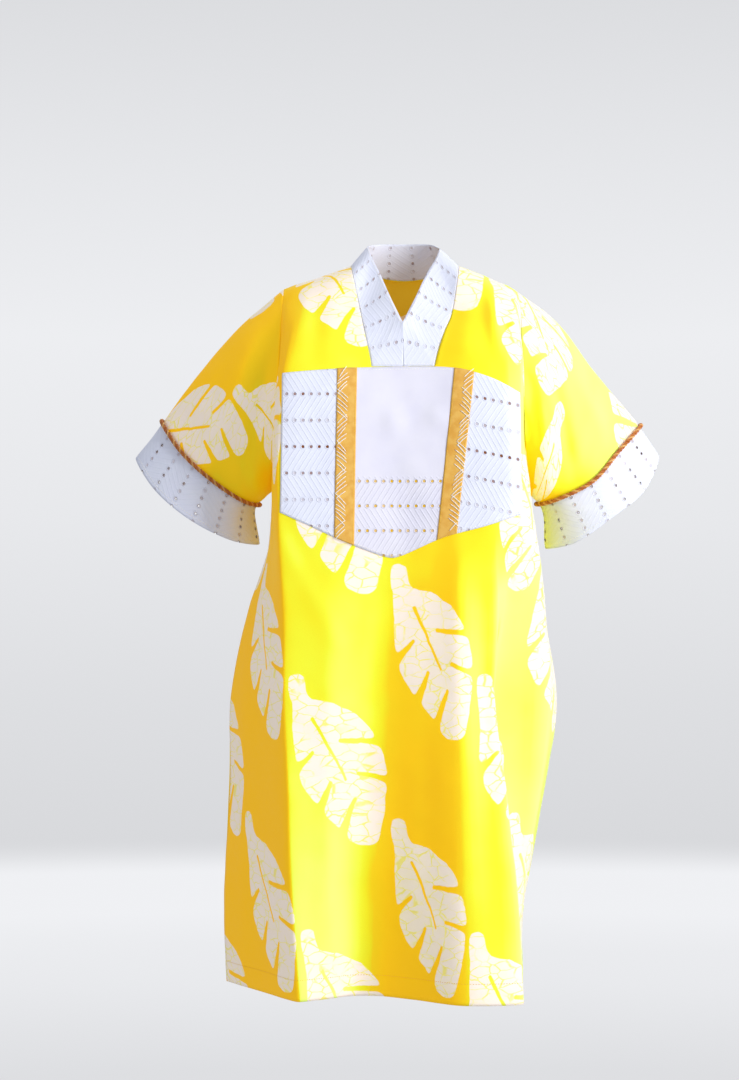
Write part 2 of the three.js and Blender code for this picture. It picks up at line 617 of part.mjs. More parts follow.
// The finish of a piece goes by the first word of its name.
const FINISH = { front: "print", back: "print", sleeve: "print", cuff: "eyelet", neck: "eyelet",
  bib: "eyelet", strip: "ochre", braid: "braid" };

const kaftan = new THREE.Group();
Object.entries(geometries).forEach(([name, geometry]) => {
  geometry.computeVertexNormals();
  const material = new THREE.MeshStandardMaterial({ ...COLOURS[FINISH[name.split("_")[0]]], metalness: 0 });
  const mesh = new THREE.Mesh(geometry, material);
  mesh.name = name;
  kaftan.add(mesh);
});

export default kaftan;
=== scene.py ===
"""A printed kaftan in its worn form: cloth, trims, stitches, finishes, light and camera."""
import math

import bmesh
import bpy
import numpy as np
from mathutils import Matrix, Vector, noise


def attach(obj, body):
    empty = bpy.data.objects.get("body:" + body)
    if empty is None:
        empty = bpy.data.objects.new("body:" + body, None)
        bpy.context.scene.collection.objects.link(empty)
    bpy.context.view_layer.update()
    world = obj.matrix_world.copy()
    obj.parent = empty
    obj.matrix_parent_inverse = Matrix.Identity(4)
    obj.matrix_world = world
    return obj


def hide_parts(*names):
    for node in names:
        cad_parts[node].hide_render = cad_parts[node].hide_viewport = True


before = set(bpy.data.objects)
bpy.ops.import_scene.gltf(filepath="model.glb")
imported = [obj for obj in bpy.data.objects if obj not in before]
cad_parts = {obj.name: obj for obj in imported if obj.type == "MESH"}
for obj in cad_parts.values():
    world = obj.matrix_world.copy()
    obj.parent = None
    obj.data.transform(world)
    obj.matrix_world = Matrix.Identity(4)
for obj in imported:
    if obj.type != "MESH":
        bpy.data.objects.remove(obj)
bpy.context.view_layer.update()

MM = 0.001


# ---- camera

camera = bpy.data.objects.new("camera", bpy.data.cameras.new("camera"))
bpy.context.collection.objects.link(camera)
camera.location = (-0.0455, -4.0, -0.357)
camera.rotation_euler = (math.radians(90), 0, 0)
camera.data.lens = 95.24
camera.data.sensor_width = 36
camera.data.clip_end = 60
bpy.context.scene.camera = camera


# ---- the cut and the folds, in millimetres

LEVELS = np.array([0, 12, 30, 75, 121, 180, 240, 290, 364, 450, 580, 690, 790, 890, 983], float)
NECK_LEVEL = 4
ARMPIT = 7
CREST_REACH = 0.52
CREST_DROP = 0.2

# x of the side seams, which front and back share, at the third section and each one below
SIDE_RIGHT = [-166, -168, -170, -172, -176, -182, -187, -213, -241, -243, -248, -251, -248]
SIDE_LEFT = [163, 164, 166, 167, 169, 172, 180, 196, 216, 203, 184, 170, 170]

# name, crease, (x, y, z) on the shoulder seam, then x and y at the third section and each one below
FRONT_FOLDS = [
    ("edge_r", 0, (-165, 0, -6), SIDE_RIGHT,
     [-42, -70, -86, -92, -68, 5, 10, 18, 30, 36, 44, 50, 56]),
    ("flank_r", 0, (-149, 0, 0),
     [-157, -163, -169, -174, -177, -178, -180, -190, -203, -202, -202, -200, -197],
     [-52, -86, -106, -116, -110, -86, -72, -62, -58, -52, -48, -42, -38]),
    ("ridge_r", 0.65, (-129, 0, 6),
     [-141, -152, -161, -167, -170, -170, -168, -162, -161, -156, -153, -147, -140],
     [-62, -100, -124, -139, -145, -147, -148, -146, -145, -142, -138, -134, -130]),
    ("plane_r", 0, (-100, 0, 16),
     [-103, -106, -106, -106, -106, -106, -106, -108, -108, -106, -106, -102, -98],
     [-67, -102, -124, -138, -143, -144, -144, -143, -138, -128, -120, -110, -100]),
    ("neck_r", 0, (-72, 0, 26),
     [-61, -52, -43, -44, -45, -46, -47, -54, -58, -62, -68, -70, -70],
     [-66, -98, -119, -133, -137, -138, -138, -134, -128, -114, -103, -90, -78]),
    ("centre", 0, (4, 0, 26),
     [4, 2, 0, -3, -6, -8, -9, -16, -22, -28, -35, -40, -44],
     [-66, -98, -118, -131, -135, -135, -135, -130, -125, -112, -102, -88, -75]),
    ("neck_l", 0, (80, 0, 26),
     [71, 56, 43, 42, 41, 40, 40, 30, 24, 22, 20, 18, 16],
     [-66, -98, -119, -133, -137, -138, -138, -137, -136, -130, -126, -120, -112]),
    ("ridge_l", 0, (96, 0, 20),
     [92, 88, 84, 82, 80, 80, 79, 72, 70, 73, 76, 79, 82],
     [-68, -102, -123, -137, -140, -141, -142, -147, -150, -153, -156, -159, -162]),
    ("fold_l", 0.5, (114, 0, 13),
     [114, 116, 118, 120, 121, 122, 124, 128, 126, 139, 150, 158, 163],
     [-67, -102, -124, -138, -141, -142, -142, -141, -139, -142, -146, -148, -150]),
    ("tuck_l", 0.35, (131, 0, 5),
     [133, 139, 142, 143, 144, 146, 150, 137, 120, 128, 139, 146, 152],
     [-66, -101, -122, -137, -140, -140, -136, -118, -104, -106, -111, -116, -120]),
    ("flank_l", 0.45, (147, 0, -1),
     [150, 157, 160, 161, 162, 166, 181, 195, 203, 191, 173, 161, 163],
     [-58, -94, -114, -127, -130, -128, -106, -64, -58, -62, -62, -66, -66]),
    ("edge_l", 0, (160, 0, -9), SIDE_LEFT,
     [-42, -68, -82, -88, -66, 5, 5, 5, 2, 6, 10, 14, 16]),
]

BACK_FOLDS = [
    ("edge_r", 0, (-165, 0, -6), SIDE_RIGHT,
     [38, 62, 75, 80, 62, 5, 10, 18, 30, 36, 44, 50, 56]),
    ("corner_r", 0.2, (-132, 0, 5),
     [-138, -142, -146, -150, -154, -160, -165, -180, -194, -194, -194, -194, -192],
     [56, 84, 98, 106, 106, 100, 98, 100, 112, 122, 132, 140, 146]),
    ("fold_r", 0, (-102, 0, 15),
     [-108, -110, -112, -114, -116, -118, -122, -130, -138, -138, -136, -134, -130],
     [66, 92, 106, 114, 118, 120, 122, 128, 140, 150, 158, 166, 172]),
    ("neck_r", 0, (-72, 0, 26),
     [-78, -78, -78, -78, -80, -82, -84, -88, -90, -88, -86, -84, -82],
     [71, 95, 108, 114, 116, 116, 114, 112, 112, 114, 116, 120, 122]),
    ("nape_r", 0, (-46, 42, 17),
     [-42, -42, -40, -38, -38, -40, -42, -44, -44, -44, -42, -40, -38],
     [76, 96, 106, 108, 108, 107, 104, 102, 104, 108, 112, 116, 120]),
    ("centre", 0, (4, 62, 11),
     [3, 2, 2, 2, 0, 0, -2, -4, -4, -4, -2, 0, 2],
     [78, 96, 104, 108, 108, 108, 110, 116, 128, 138, 146, 154, 160]),
    ("nape_l", 0, (54, 42, 17),
     [48, 46, 44, 42, 42, 42, 42, 42, 46, 48, 48, 48, 48],
     [76, 96, 106, 110, 112, 114, 118, 126, 140, 150, 158, 164, 168]),
    ("neck_l", 0, (80, 0, 26),
     [82, 82, 82, 82, 82, 84, 86, 88, 90, 90, 88, 86, 84],
     [71, 95, 108, 115, 118, 120, 122, 122, 122, 124, 126, 128, 130]),
    ("fold_l", 0, (104, 0, 17),
     [108, 110, 112, 114, 116, 118, 122, 126, 132, 130, 126, 122, 118],
     [66, 92, 105, 112, 115, 116, 114, 112, 114, 120, 124, 128, 130]),
    ("corner_l", 0.2, (130, 0, 6),
     [135, 138, 140, 144, 147, 152, 158, 168, 176, 168, 158, 152, 148],
     [56, 84, 98, 105, 105, 100, 98, 104, 112, 122, 128, 132, 134]),
    ("edge_l", 0, (160, 0, -9), SIDE_LEFT,
     [38, 60, 73, 78, 60, 5, 5, 5, 2, 6, 10, 14, 16]),
]

# Round each sleeve from the top down the front, under the arm and up the back: the sections
# upper, middle, cuff seam and mouth.
SLEEVE_RIGHT = [
    [(-220, 0, -53), (-280, 0, -119), (-334, 0, -192), (-372, 0, -242)],
    [(-222, -62, -104), (-268, -52, -170), (-307, -38, -233), (-344, -40, -287)],
    [(-206, -84, -172), (-240, -70, -226), (-267, -54, -271), (-292, -58, -330)],
    [(-190, -70, -246), (-206, -58, -280), (-221, -42, -302), (-232, -46, -359)],
    [(-188, 2, -294), (-194, 0, -300), (-201, -2, -306), (-199, -8, -363)],
    [(-190, 62, -240), (-206, 52, -272), (-222, 38, -292), (-228, 38, -348)],
    [(-206, 76, -166), (-238, 64, -216), (-262, 50, -252), (-284, 54, -308)],
    [(-222, 54, -100), (-267, 46, -162), (-305, 36, -222), (-338, 38, -270)],
]
SLEEVE_LEFT = [
    [(216, 0, -53), (275, 0, -129), (332, 0, -198), (360, 0, -238)],
    [(216, -62, -110), (257, -52, -176), (296, -38, -238), (335, -40, -290)],
    [(199, -84, -176), (231, -70, -230), (262, -54, -276), (287, -58, -328)],
    [(182, -70, -248), (197, -58, -280), (213, -42, -300), (239, -46, -361)],
    [(178, 2, -293), (184, 0, -299), (190, -2, -305), (200, -8, -369)],
    [(182, 62, -242), (197, 52, -272), (213, 38, -291), (234, 38, -350)],
    [(199, 76, -168), (229, 64, -218), (257, 50, -256), (278, 54, -308)],
    [(216, 54, -104), (256, 46, -166), (294, 36, -226), (329, 38, -272)],
]

NECK_EDGE_RIGHT = [(-48, 8, 55), (-42, -14, 37), (-32, -35, 15), (-17, -70, -22), (-3.5, -93, -52),
                   (0, -99, -59.5)]
NECK_EDGE_LEFT = [(53, 8, 52), (47, -14, 36), (35, -35, 15), (18, -70, -22), (3.5, -93, -52),
                  (0, -99, -59.5)]
NECK_EDGE_BACK = [(-48, 8, 55), (-36, 36, 60), (3, 52, 62), (41, 36, 60), (53, 8, 52)]
CORNER_SHARE = 0.8

BIB_TOP = [(-163, 0, -131), (-120, 0, -127), (-76, 0, -124), (-4, 0, -121.8), (83, 0, -126),
           (124, 0, -139), (158, 0, -157)]
BIB_BOTTOM = [(-166, 0, -320), (-124, 0, -339), (-80, 0, -359), (-15, 0, -381), (59, 0, -352),
              (112, 0, -338), (160, 0, -322)]
BIB_POINT = 3
POINT_CREASE = 0.4
RIGHT_JOIN = 2
LEFT_JOIN = 4
STRIP_WIDTH = 27

COTTON = 1.2
TRIM = 0.8
CUFF = 1.8
HEM_DEPTH = 32
BIB_LIFT = 1.0
STRIP_LIFT = 1.9


# ---- smooth runs through points

def smoothstep(value, low, high):
    share = np.clip((value - low) / (high - low), 0, 1)
    return share * share * (3 - 2 * share)


def unit(vectors):
    return vectors / np.linalg.norm(vectors, axis=-1, keepdims=True)


def paired(first, second):
    """Two grids of numbers as one grid of pairs."""
    return np.stack(np.broadcast_arrays(first, second), axis=-1)


def run(points, knots, numbers, crease=0.0, before=None):
    """Cubic runs through rows of points (runs, points, 3), read at the same point numbers."""
    spans = np.diff(knots, axis=1)[..., None]
    slopes = np.diff(points, axis=1) / spans
    inner = (slopes[:, :-1] * spans[:, 1:] + slopes[:, 1:] * spans[:, :-1]) / (spans[:, 1:] + spans[:, :-1])
    first = slopes[:, :1] if before is None else (points[:, 1:2] - before[:, None]) / (2 * spans[:, :1])
    tangents = np.concatenate([first, inner, slopes[:, -1:]], axis=1)
    tangents = tangents * (1 - np.broadcast_to(crease, points.shape[:2])[..., None])
    i = np.clip(np.floor(numbers).astype(int), 0, points.shape[1] - 2)
    t = (np.asarray(numbers, float) - i)[None, :, None]
    rise = t * t * (3 - 2 * t)
    return (points[:, i] * (1 - rise) + points[:, i + 1] * rise
            + tangents[:, i] * spans[:, i] * t * (1 - t) ** 2
            - tangents[:, i + 1] * spans[:, i] * t * t * (1 - t))


def numbered(points, numbers, crease=0.0, before=None):
    """The same with the distances between the points as knots."""
    steps = np.maximum(np.linalg.norm(np.diff(points, axis=1), axis=2), 1)
    knots = np.concatenate([np.zeros((len(points), 1)), np.cumsum(steps, axis=1)], axis=1)
    return run(points, knots, numbers, crease, before)


def one_run(points, numbers, crease=0.0):
    return numbered(np.array([points], float), np.atleast_1d(numbers), crease)[0]


def ring(points, numbers):
    """A closed run through points (points, 3)."""
    wrap = 2
    around = np.concatenate([points[-wrap:], points, points[:wrap + 1]])
    return numbered(around[None], wrap + np.mod(numbers, len(points)))[0]


def panel(folds, levels, numbers):
    """Points of a body panel's outer face, (levels, fold numbers, 3)."""
    lines, before, turns = [], [], []
    for name, _, top, xs, ys in folds:
        sections = np.column_stack([xs, ys, -LEVELS[2:]])
        seam = np.array(top, float)
        crest = seam + CREST_DROP * (sections[0] - seam)
        crest[1] = seam[1] + CREST_REACH * (sections[0][1] - seam[1])
        lines.append(np.vstack([seam, crest, sections]))
        before.append([crest[0], 2 * seam[1] - crest[1], crest[2]])
        turns.append([float(name.startswith("edge") and level == ARMPIT) for level in range(len(LEVELS))])
    knots = np.broadcast_to(LEVELS, (len(folds), len(LEVELS)))
    across = run(np.array(lines), knots, levels, np.array(turns), np.array(before)).transpose(1, 0, 2)
    depth = np.interp(levels, np.arange(len(LEVELS)), LEVELS)
    at_top = 1 - smoothstep(depth, 0, LEVELS[2])
    sharp = smoothstep(depth, LEVELS[2], LEVELS[NECK_LEVEL])
    crease = np.array([fold[1] for fold in folds], float)
    corner = np.array([fold[0].startswith("neck") for fold in folds], float)
    return numbered(across, numbers, np.maximum(crease * sharp[:, None], corner * at_top[:, None]))


def fold_number(folds, name):
    return [fold[0] for fold in folds].index(name)


def lengths(points, axis):
    """Distance run along a grid of points from its first row or column."""
    steps = np.linalg.norm(np.diff(points, axis=axis), axis=2)
    pad = [(0, 0), (0, 0)]
    pad[axis] = (1, 0)
    return np.pad(np.cumsum(steps, axis=axis), pad)


def normals(points, core):
    """Unit normals of a grid of points, pointing away from core."""
    down = np.gradient(points, axis=0)
    across = np.gradient(points, axis=1)
    if np.allclose(points[:, 0], points[:, -1], atol=0.01):
        across[:, 0] = across[:, -1] = points[:, 1] - points[:, -2]
    out = np.cross(down, across)
    out /= np.maximum(np.linalg.norm(out, axis=2, keepdims=True), 1e-9)
    return -out if np.sum(out * (points - np.array(core, float))) < 0 else out


def dip(distance, depth, width):
    return -depth * np.exp(-(distance / width) ** 2)


# ---- making pieces

MERGE = 2e-6
# how far a face looks forward where its painted light and shade starts, and ends, to follow its turn
AHEAD = (-0.1, 0.4)
# painted shade on faces that look away from the front: a middle tone that swings a little with their turn
MIDDLE_TONE = 0.54
HIDDEN_SWING = 0.07
STITCH = 2.4
STITCH_GAP = 1.4
STITCH_RADIUS = 0.32
STITCH_SPREAD = 1.3
STITCH_LIFT = 0.12
OFF_AXIS = (0.31, 0.43, 0.85)


def make(name, bm, finishes):
    """An object from bm, which is freed."""
    mesh = bpy.data.meshes.new(name)
    bm.to_mesh(mesh)
    bm.free()
    mesh.shade_smooth()
    for finish in finishes:
        mesh.materials.append(finish)
    piece = bpy.data.objects.new(name, mesh)
    bpy.context.collection.objects.link(piece)
    return piece


def make_solid(name, bm, finish):
    bmesh.ops.remove_doubles(bm, verts=bm.verts, dist=MERGE)
    bmesh.ops.recalc_face_normals(bm, faces=bm.faces)
    return make(name, bm, [finish])


def lay_grid(bm, points, flat=None):
    """Adds a grid whose vertices go to points (rows, columns, 3), with flat as its UV in metres.

    Gives each vertex with its row and column."""
    rows, columns = points.shape[:2]
    made = bmesh.ops.create_grid(bm, x_segments=columns - 1, y_segments=rows - 1, size=1)
    place = {}
    for vertex in made["verts"]:
        row = round((1 - vertex.co.y) / 2 * (rows - 1))
        place[vertex] = (row, round((vertex.co.x + 1) / 2 * (columns - 1)))
    if flat is not None:
        layer = bm.loops.layers.uv["cloth"]
        for vertex, spot in place.items():
            for loop in vertex.link_loops:
                loop[layer].uv = flat[spot] * MM
    for vertex, spot in place.items():
        vertex.co = points[spot] * MM
    return place


def cloth(name, points, flat, core, thickness, finishes, hole=None, least=0.0):
    """A wall of cloth whose painted light and shade, an attribute, goes from 0, a painted highlight, to 1,
    painted amber shade, as its front turns to the wearer's right, away from the key light, and nowhere
    falls below least."""
    facing = normals(points, core)
    ahead = smoothstep(-facing[..., 1], *AHEAD)
    hidden = MIDDLE_TONE - HIDDEN_SWING * facing[..., 0]
    # painted light and shade: a highlight where a face turns to the wearer's left, toward the key light,
    # amber shade where it turns to the right
    deep = np.maximum((0.5 - 0.5 * facing[..., 0]) * ahead + hidden * (1 - ahead), least)
    bm = bmesh.new()
    bm.loops.layers.uv.new("cloth")
    painted_shading = bm.verts.layers.float.new("painted_light_and_shade")
    place = lay_grid(bm, points, flat)
    for vertex, spot in place.items():
        vertex[painted_shading] = deep[spot]
    if hole is not None:
        cells = [face for face in bm.faces
                 if hole[tuple(min(place[vertex][axis] for vertex in face.verts) for axis in range(2))]]
        bmesh.ops.delete(bm, geom=cells, context="FACES")
    bmesh.ops.remove_doubles(bm, verts=bm.verts, dist=MERGE)
    bm.normal_update()
    middle = Vector(core) * MM
    if sum(face.normal.dot(face.calc_center_median() - middle) * face.calc_area() for face in bm.faces) < 0:
        bmesh.ops.reverse_faces(bm, faces=bm.faces)
    piece = make(name, bm, finishes)
    wall = piece.modifiers.new("wall", "SOLIDIFY")
    wall.thickness = thickness * MM
    wall.offset = -1
    wall.use_rim = True
    if len(finishes) > 1:
        wall.material_offset = 1
    return piece


def cord(bm, path, radius, sides, closed=False):
    """A round cord along path (points, 3) in millimetres: a grid rolled round it.

    An open cord closes to a point at each end; a closed one has cloth coordinates."""
    if closed:
        path = np.vstack([path, path[:1]])
    tangent = np.gradient(path, axis=0)
    if closed:
        tangent[0] = tangent[-1] = path[1] - path[-2]
    tangent = unit(tangent)
    side = unit(np.cross(tangent, OFF_AXIS))
    other = np.cross(tangent, side)
    angle = np.linspace(0, 2 * math.pi, sides + 1)[None, :, None]
    reach = np.full((len(path), 1, 1), float(radius))
    if not closed:
        reach[[0, -1]] = 0
    points = path[:, None] + reach * (side[:, None] * np.cos(angle) + other[:, None] * np.sin(angle))
    lay_grid(bm, points, paired(lengths(path[None], 1).T, radius * angle[..., 0]) if closed else None)


def stitches(name, path, outward, finish):
    """Running stitches along path (points, 3), standing a little out of the cloth."""
    distance = lengths(path[None], 1)[0]
    pace = STITCH + STITCH_GAP

    def read(line, place):
        return np.array([np.interp(place, distance, line[:, axis]) for axis in range(3)])

    bm = bmesh.new()
    for number in range(int(distance[-1] / pace)):
        centre = (number + 0.5) * pace
        here = read(path, centre)
        out = Vector(read(outward, centre)).normalized()
        along = Vector(read(path, centre + 1) - here)
        along = (along - along.project(out)).normalized()
        across = out.cross(along) * STITCH_RADIUS * STITCH_SPREAD
        turn = Matrix((along * STITCH / 2, across, out * STITCH_RADIUS)).transposed().to_4x4()
        place = Matrix.Translation((Vector(here) + out * STITCH_LIFT) * MM) @ Matrix.Scale(MM, 4) @ turn
        bmesh.ops.create_uvsphere(bm, u_segments=6, v_segments=4, radius=1,
                                  matrix=place @ Matrix.Rotation(math.radians(90), 4, "Y"))
    return make_solid(name, bm, finish)


# ---- finishes

class Level:
    """A socket that carries a number, so that shader maths reads as sums."""

    def __init__(self, finish, socket):
        self.finish = finish
        self.socket = socket

    def maths(self, operation, *others, clamp=False):
        return self.finish.maths(operation, self, *others, clamp=clamp)

    def __add__(self, other):
        return self.maths("ADD", other)

    def __sub__(self, other):
        return self.maths("SUBTRACT", other)

    def __rsub__(self, other):
        return self.finish.maths("SUBTRACT", other, self)

    def __mul__(self, other):
        return self.maths("MULTIPLY", other)

    def __truediv__(self, other):
        return self.maths("DIVIDE", other)

    __radd__ = __add__
    __rmul__ = __mul__

    def clipped(self):
        return self.maths("ADD", 0.0, clamp=True)

    def swing(self):
        """Up and down between 0 and 0.5, once for each whole number."""
        return (self.maths("FRACT") - 0.5).maths("ABSOLUTE")

    def ribs(self, pitch):
        """A sine wave from 0 to 1."""
        return (self * (2 * math.pi / pitch)).maths("SINE") * 0.5 + 0.5

    def step(self, low, high):
        """0 below low and 1 above high, smooth between; low may be the larger."""
        return self.finish.level("MapRange", {"interpolation_type": "SMOOTHSTEP"},
                                 {"Value": self, "From Min": low, "From Max": high}, "Result")


class Finish:
    """A material and the nodes that make it."""

    def __init__(self, name, **shader):
        self.material = bpy.data.materials.new(name)
        self.material.use_nodes = True
        self.tree = self.material.node_tree
        self.shader = self.tree.nodes["Principled BSDF"]
        for key, value in shader.items():
            self.set(key.replace("_", " "), value)

    def node(self, kind, settings=None, inputs=None):
        made = self.tree.nodes.new("ShaderNode" + kind)
        for key, value in (settings or {}).items():
            setattr(made, key, value)
        for key, value in (inputs or {}).items():
            self.feed(made.inputs[key], value)
        return made

    def feed(self, socket, value):
        if isinstance(value, Level):
            value = value.socket
        if isinstance(value, bpy.types.NodeSocket):
            self.tree.links.new(value, socket)
        else:
            socket.default_value = value

    def set(self, name, value):
        self.feed(self.shader.inputs[name], value)

    def level(self, kind, settings, inputs, output=0):
        return Level(self, self.node(kind, settings, inputs).outputs[output])

    def maths(self, operation, *values, clamp=False):
        return self.level("Math", {"operation": operation, "use_clamp": clamp}, dict(enumerate(values)))

    def vectors(self, operation, inputs, output="Vector"):
        return self.node("VectorMath", {"operation": operation}, inputs).outputs[output]

    def ramp(self, place, stops, interpolation="LINEAR"):
        """The colour at place on a ramp with stops of a position and a colour each."""
        made = self.node("ValToRGB", None, {0: place})
        ramp = made.color_ramp
        ramp.interpolation = interpolation
        while len(ramp.elements) < len(stops):
            ramp.elements.new(0.5)
        for element, (position, colour) in zip(ramp.elements, stops):
            element.position = position
            element.color = (*colour, 1)
        return made.outputs["Color"]

    def millimetres(self, socket):
        return self.vectors("SCALE", {0: socket, "Scale": 1000.0})

    def flat(self):
        """The cloth's own coordinates, as a socket."""
        return self.millimetres(self.node("UVMap", {"uv_map": "cloth"}).outputs["UV"])

    def parts(self, socket, kind="SeparateXYZ"):
        """The three numbers of a vector, or with SeparateColor of a colour."""
        return [Level(self, output) for output in self.node(kind, None, {0: socket}).outputs]

    def vector(self, x, y):
        return self.node("CombineXYZ", None, {0: x, 1: y}).outputs[0]

    def noise(self, vector, size, detail=2.0):
        return self.level("TexNoise", None, {"Vector": vector, "Scale": 1.0 / size, "Detail": detail}, "Fac")

    def bent(self, vector, size, detail, reach):
        """A vector pushed about by noise of a size."""
        made = self.node("TexNoise", None, {"Vector": vector, "Scale": 1 / size, "Detail": detail})
        return self.vectors("MULTIPLY_ADD", {0: made.outputs["Color"], 1: (reach, reach, 0), 2: vector})

    def mix(self, amount, first, second):
        first, second = ((*colour, 1) if isinstance(colour, tuple) else colour for colour in (first, second))
        return self.node("Mix", {"data_type": "RGBA"}, {0: amount, 6: first, 7: second}).outputs[2]

    def relief(self, height):
        """Bump from a height in millimetres."""
        made = self.node("Bump", None, {"Strength": 1.0, "Distance": MM, "Height": height})
        self.set("Normal", made.outputs[0])


def srgb(red, green, blue):
    """A colour given in 0..255 screen values."""
    def linear(value):
        value /= 255
        return value / 12.92 if value <= 0.04045 else ((value + 0.055) / 1.055) ** 2.4
    return linear(red), linear(green), linear(blue)


def shaded(colour, by):
    """A colour times one share, or times a share for each of its parts."""
    return tuple(np.multiply(colour, by).tolist())


def weave(finish, flat, pitch):
    """Plain weave: threads over and under in both directions, as a height from 0 to 1."""
    warp, weft = [(along * (math.pi / pitch)).maths("SINE") for along in finish.parts(flat)[:2]]
    return warp * weft * 0.5 + 0.5


# The print: a half-drop of feathered leaves with stem, midrib and cuts, in a wax-resist manner.
COLUMN = 140.0
REPEAT = 347.0
DROP = 149.0
LEAF_LENGTH = 240.0
# share of the leaf's length, then its right and left edge as shares of the column
LEAF_EDGES = [(0.0, 0.13, 0.07), (0.02, 0.165, 0.02), (0.09, 0.18, 0.01), (0.145, 0.21, 0.03),
              (0.165, 0.42, 0.04), (0.24, 0.7, 0.05), (0.36, 0.88, 0.05), (0.5, 0.96, 0.06),
              (0.62, 0.97, 0.1), (0.72, 0.96, 0.2), (0.82, 0.94, 0.36), (0.9, 0.91, 0.5),
              (0.97, 0.88, 0.6), (1.0, 0.84, 0.68)]
# ends and half-widths of the cuts, from the inside out
LEAF_CUTS = [((33, 108), (2, 140), 2.6, 6.5), ((57, 150), (36, 196), 2.6, 7.5),
             ((92, 174), (70, 226), 2.6, 7.5), ((72, 92), (142, 96), 2.8, 5.0),
             ((98, 138), (144, 151), 2.4, 4.6)]
LEAF_MIDRIB = ((34, 62), (79, 146), 2.6, 1.8)
STEM_TOP = 1.0
SIDE_ROUNDING = 6.0
LOBE_ROUNDING = 13.0
END_ROUNDING = 14.0
DYE_BLEED = 0.7
CRACKLE_CELL = (24, 13)
CRACKLE_LINE = (0.06, 0.014)


def stroke(finish, point, start, end, from_width, to_width):
    """How deep a point lies in a stroke whose half-width changes from one end to the other."""
    along = (end[0] - start[0], end[1] - start[1])
    square = along[0] ** 2 + along[1] ** 2
    offset = finish.vectors("SUBTRACT", {0: point, 1: (*start, 0)})
    inverse = (along[0] / square, along[1] / square, 0)
    share = Level(finish, finish.vectors("DOT_PRODUCT", {0: offset, 1: inverse}, "Value")).clipped()
    nearest = finish.vectors("SCALE", {0: (*along, 0), "Scale": share})
    gap = finish.vectors("DISTANCE", {0: offset, 1: nearest}, "Value")
    return share * (to_width - from_width) + from_width - gap


def leaf_mask(finish, flat):
    """1 where the wax kept the cloth white."""
    across, down, _ = finish.parts(finish.bent(flat, 34, 3.0, 7))
    column = across / COLUMN
    odd = (column.maths("FLOOR") * 0.5).maths("FRACT") * 2.0
    side = column.maths("FRACT") * COLUMN
    fall = ((down - odd * DROP) / REPEAT).maths("FRACT") * REPEAT
    stops = [(share, (right, left, 0)) for share, right, left in LEAF_EDGES]
    right, left, _ = finish.parts(finish.ramp(fall / LEAF_LENGTH, stops, "B_SPLINE"), "SeparateColor")
    outside = (side - right * COLUMN).maths("SMOOTH_MAX", left * COLUMN - side, SIDE_ROUNDING)
    for end in (STEM_TOP - fall, fall - LEAF_LENGTH):
        outside = outside.maths("SMOOTH_MAX", end, END_ROUNDING)
    point = finish.vector(side, fall)
    for cut in LEAF_CUTS:
        outside = outside.maths("SMOOTH_MAX", stroke(finish, point, *cut), LOBE_ROUNDING)
    outside = outside.maths("MAXIMUM", stroke(finish, point, *LEAF_MIDRIB))
    return outside.step(DYE_BLEED, -DYE_BLEED)


def crackle(finish, flat):
    """Fine broken lines where the yellow crept into the wax."""
    scale = (1 / CRACKLE_CELL[0], 1 / CRACKLE_CELL[1], 1)
    squashed = finish.node("Mapping", None, {"Vector": finish.bent(flat, 18, 2.0, 9), "Scale": scale})
    cells = finish.level("TexVoronoi", {"feature": "DISTANCE_TO_EDGE"},
                         {"Vector": squashed.outputs[0], "Scale": 1.0}, "Distance")
    return cells.step(*CRACKLE_LINE) * finish.noise(flat, 30, 3.0).step(0.34, 0.54)


YELLOW = srgb(238, 228, 27)
AMBER = srgb(255, 186, 2)
WHITE = srgb(240, 229, 218)
PALE_DYED = tuple(0.75 * part + 0.25 * tint for part, tint in zip(WHITE, YELLOW))
# painted light: a glow the cloth emits though it is no lamp, weak on lit yellow, strong on its painted amber
# shade and on the leaves
GLOW_LIT = (0.04, 0.04, 0.0)
GLOW_DEEP = (0.2, 0.125, 0.0)
GLOW_PALE = (0.14, 0.11, 0.095)
# painted light and shade of the ground: a pale lime highlight at 0, the yellow itself in the middle, painted
# amber shade at 1
TONES = [(0.1, srgb(230, 250, 140)), (0.33, srgb(230, 248, 95)), (0.45, srgb(236, 237, 44)), (0.515, YELLOW),
         (0.58, srgb(241, 205, 12)), (0.75, srgb(254, 196, 4)), (1.0, AMBER)]
# painted light and shade of the ground on the inside face
INSIDE_TONES = [(0.2, srgb(246, 228, 90)), (0.8, srgb(242, 190, 40))]


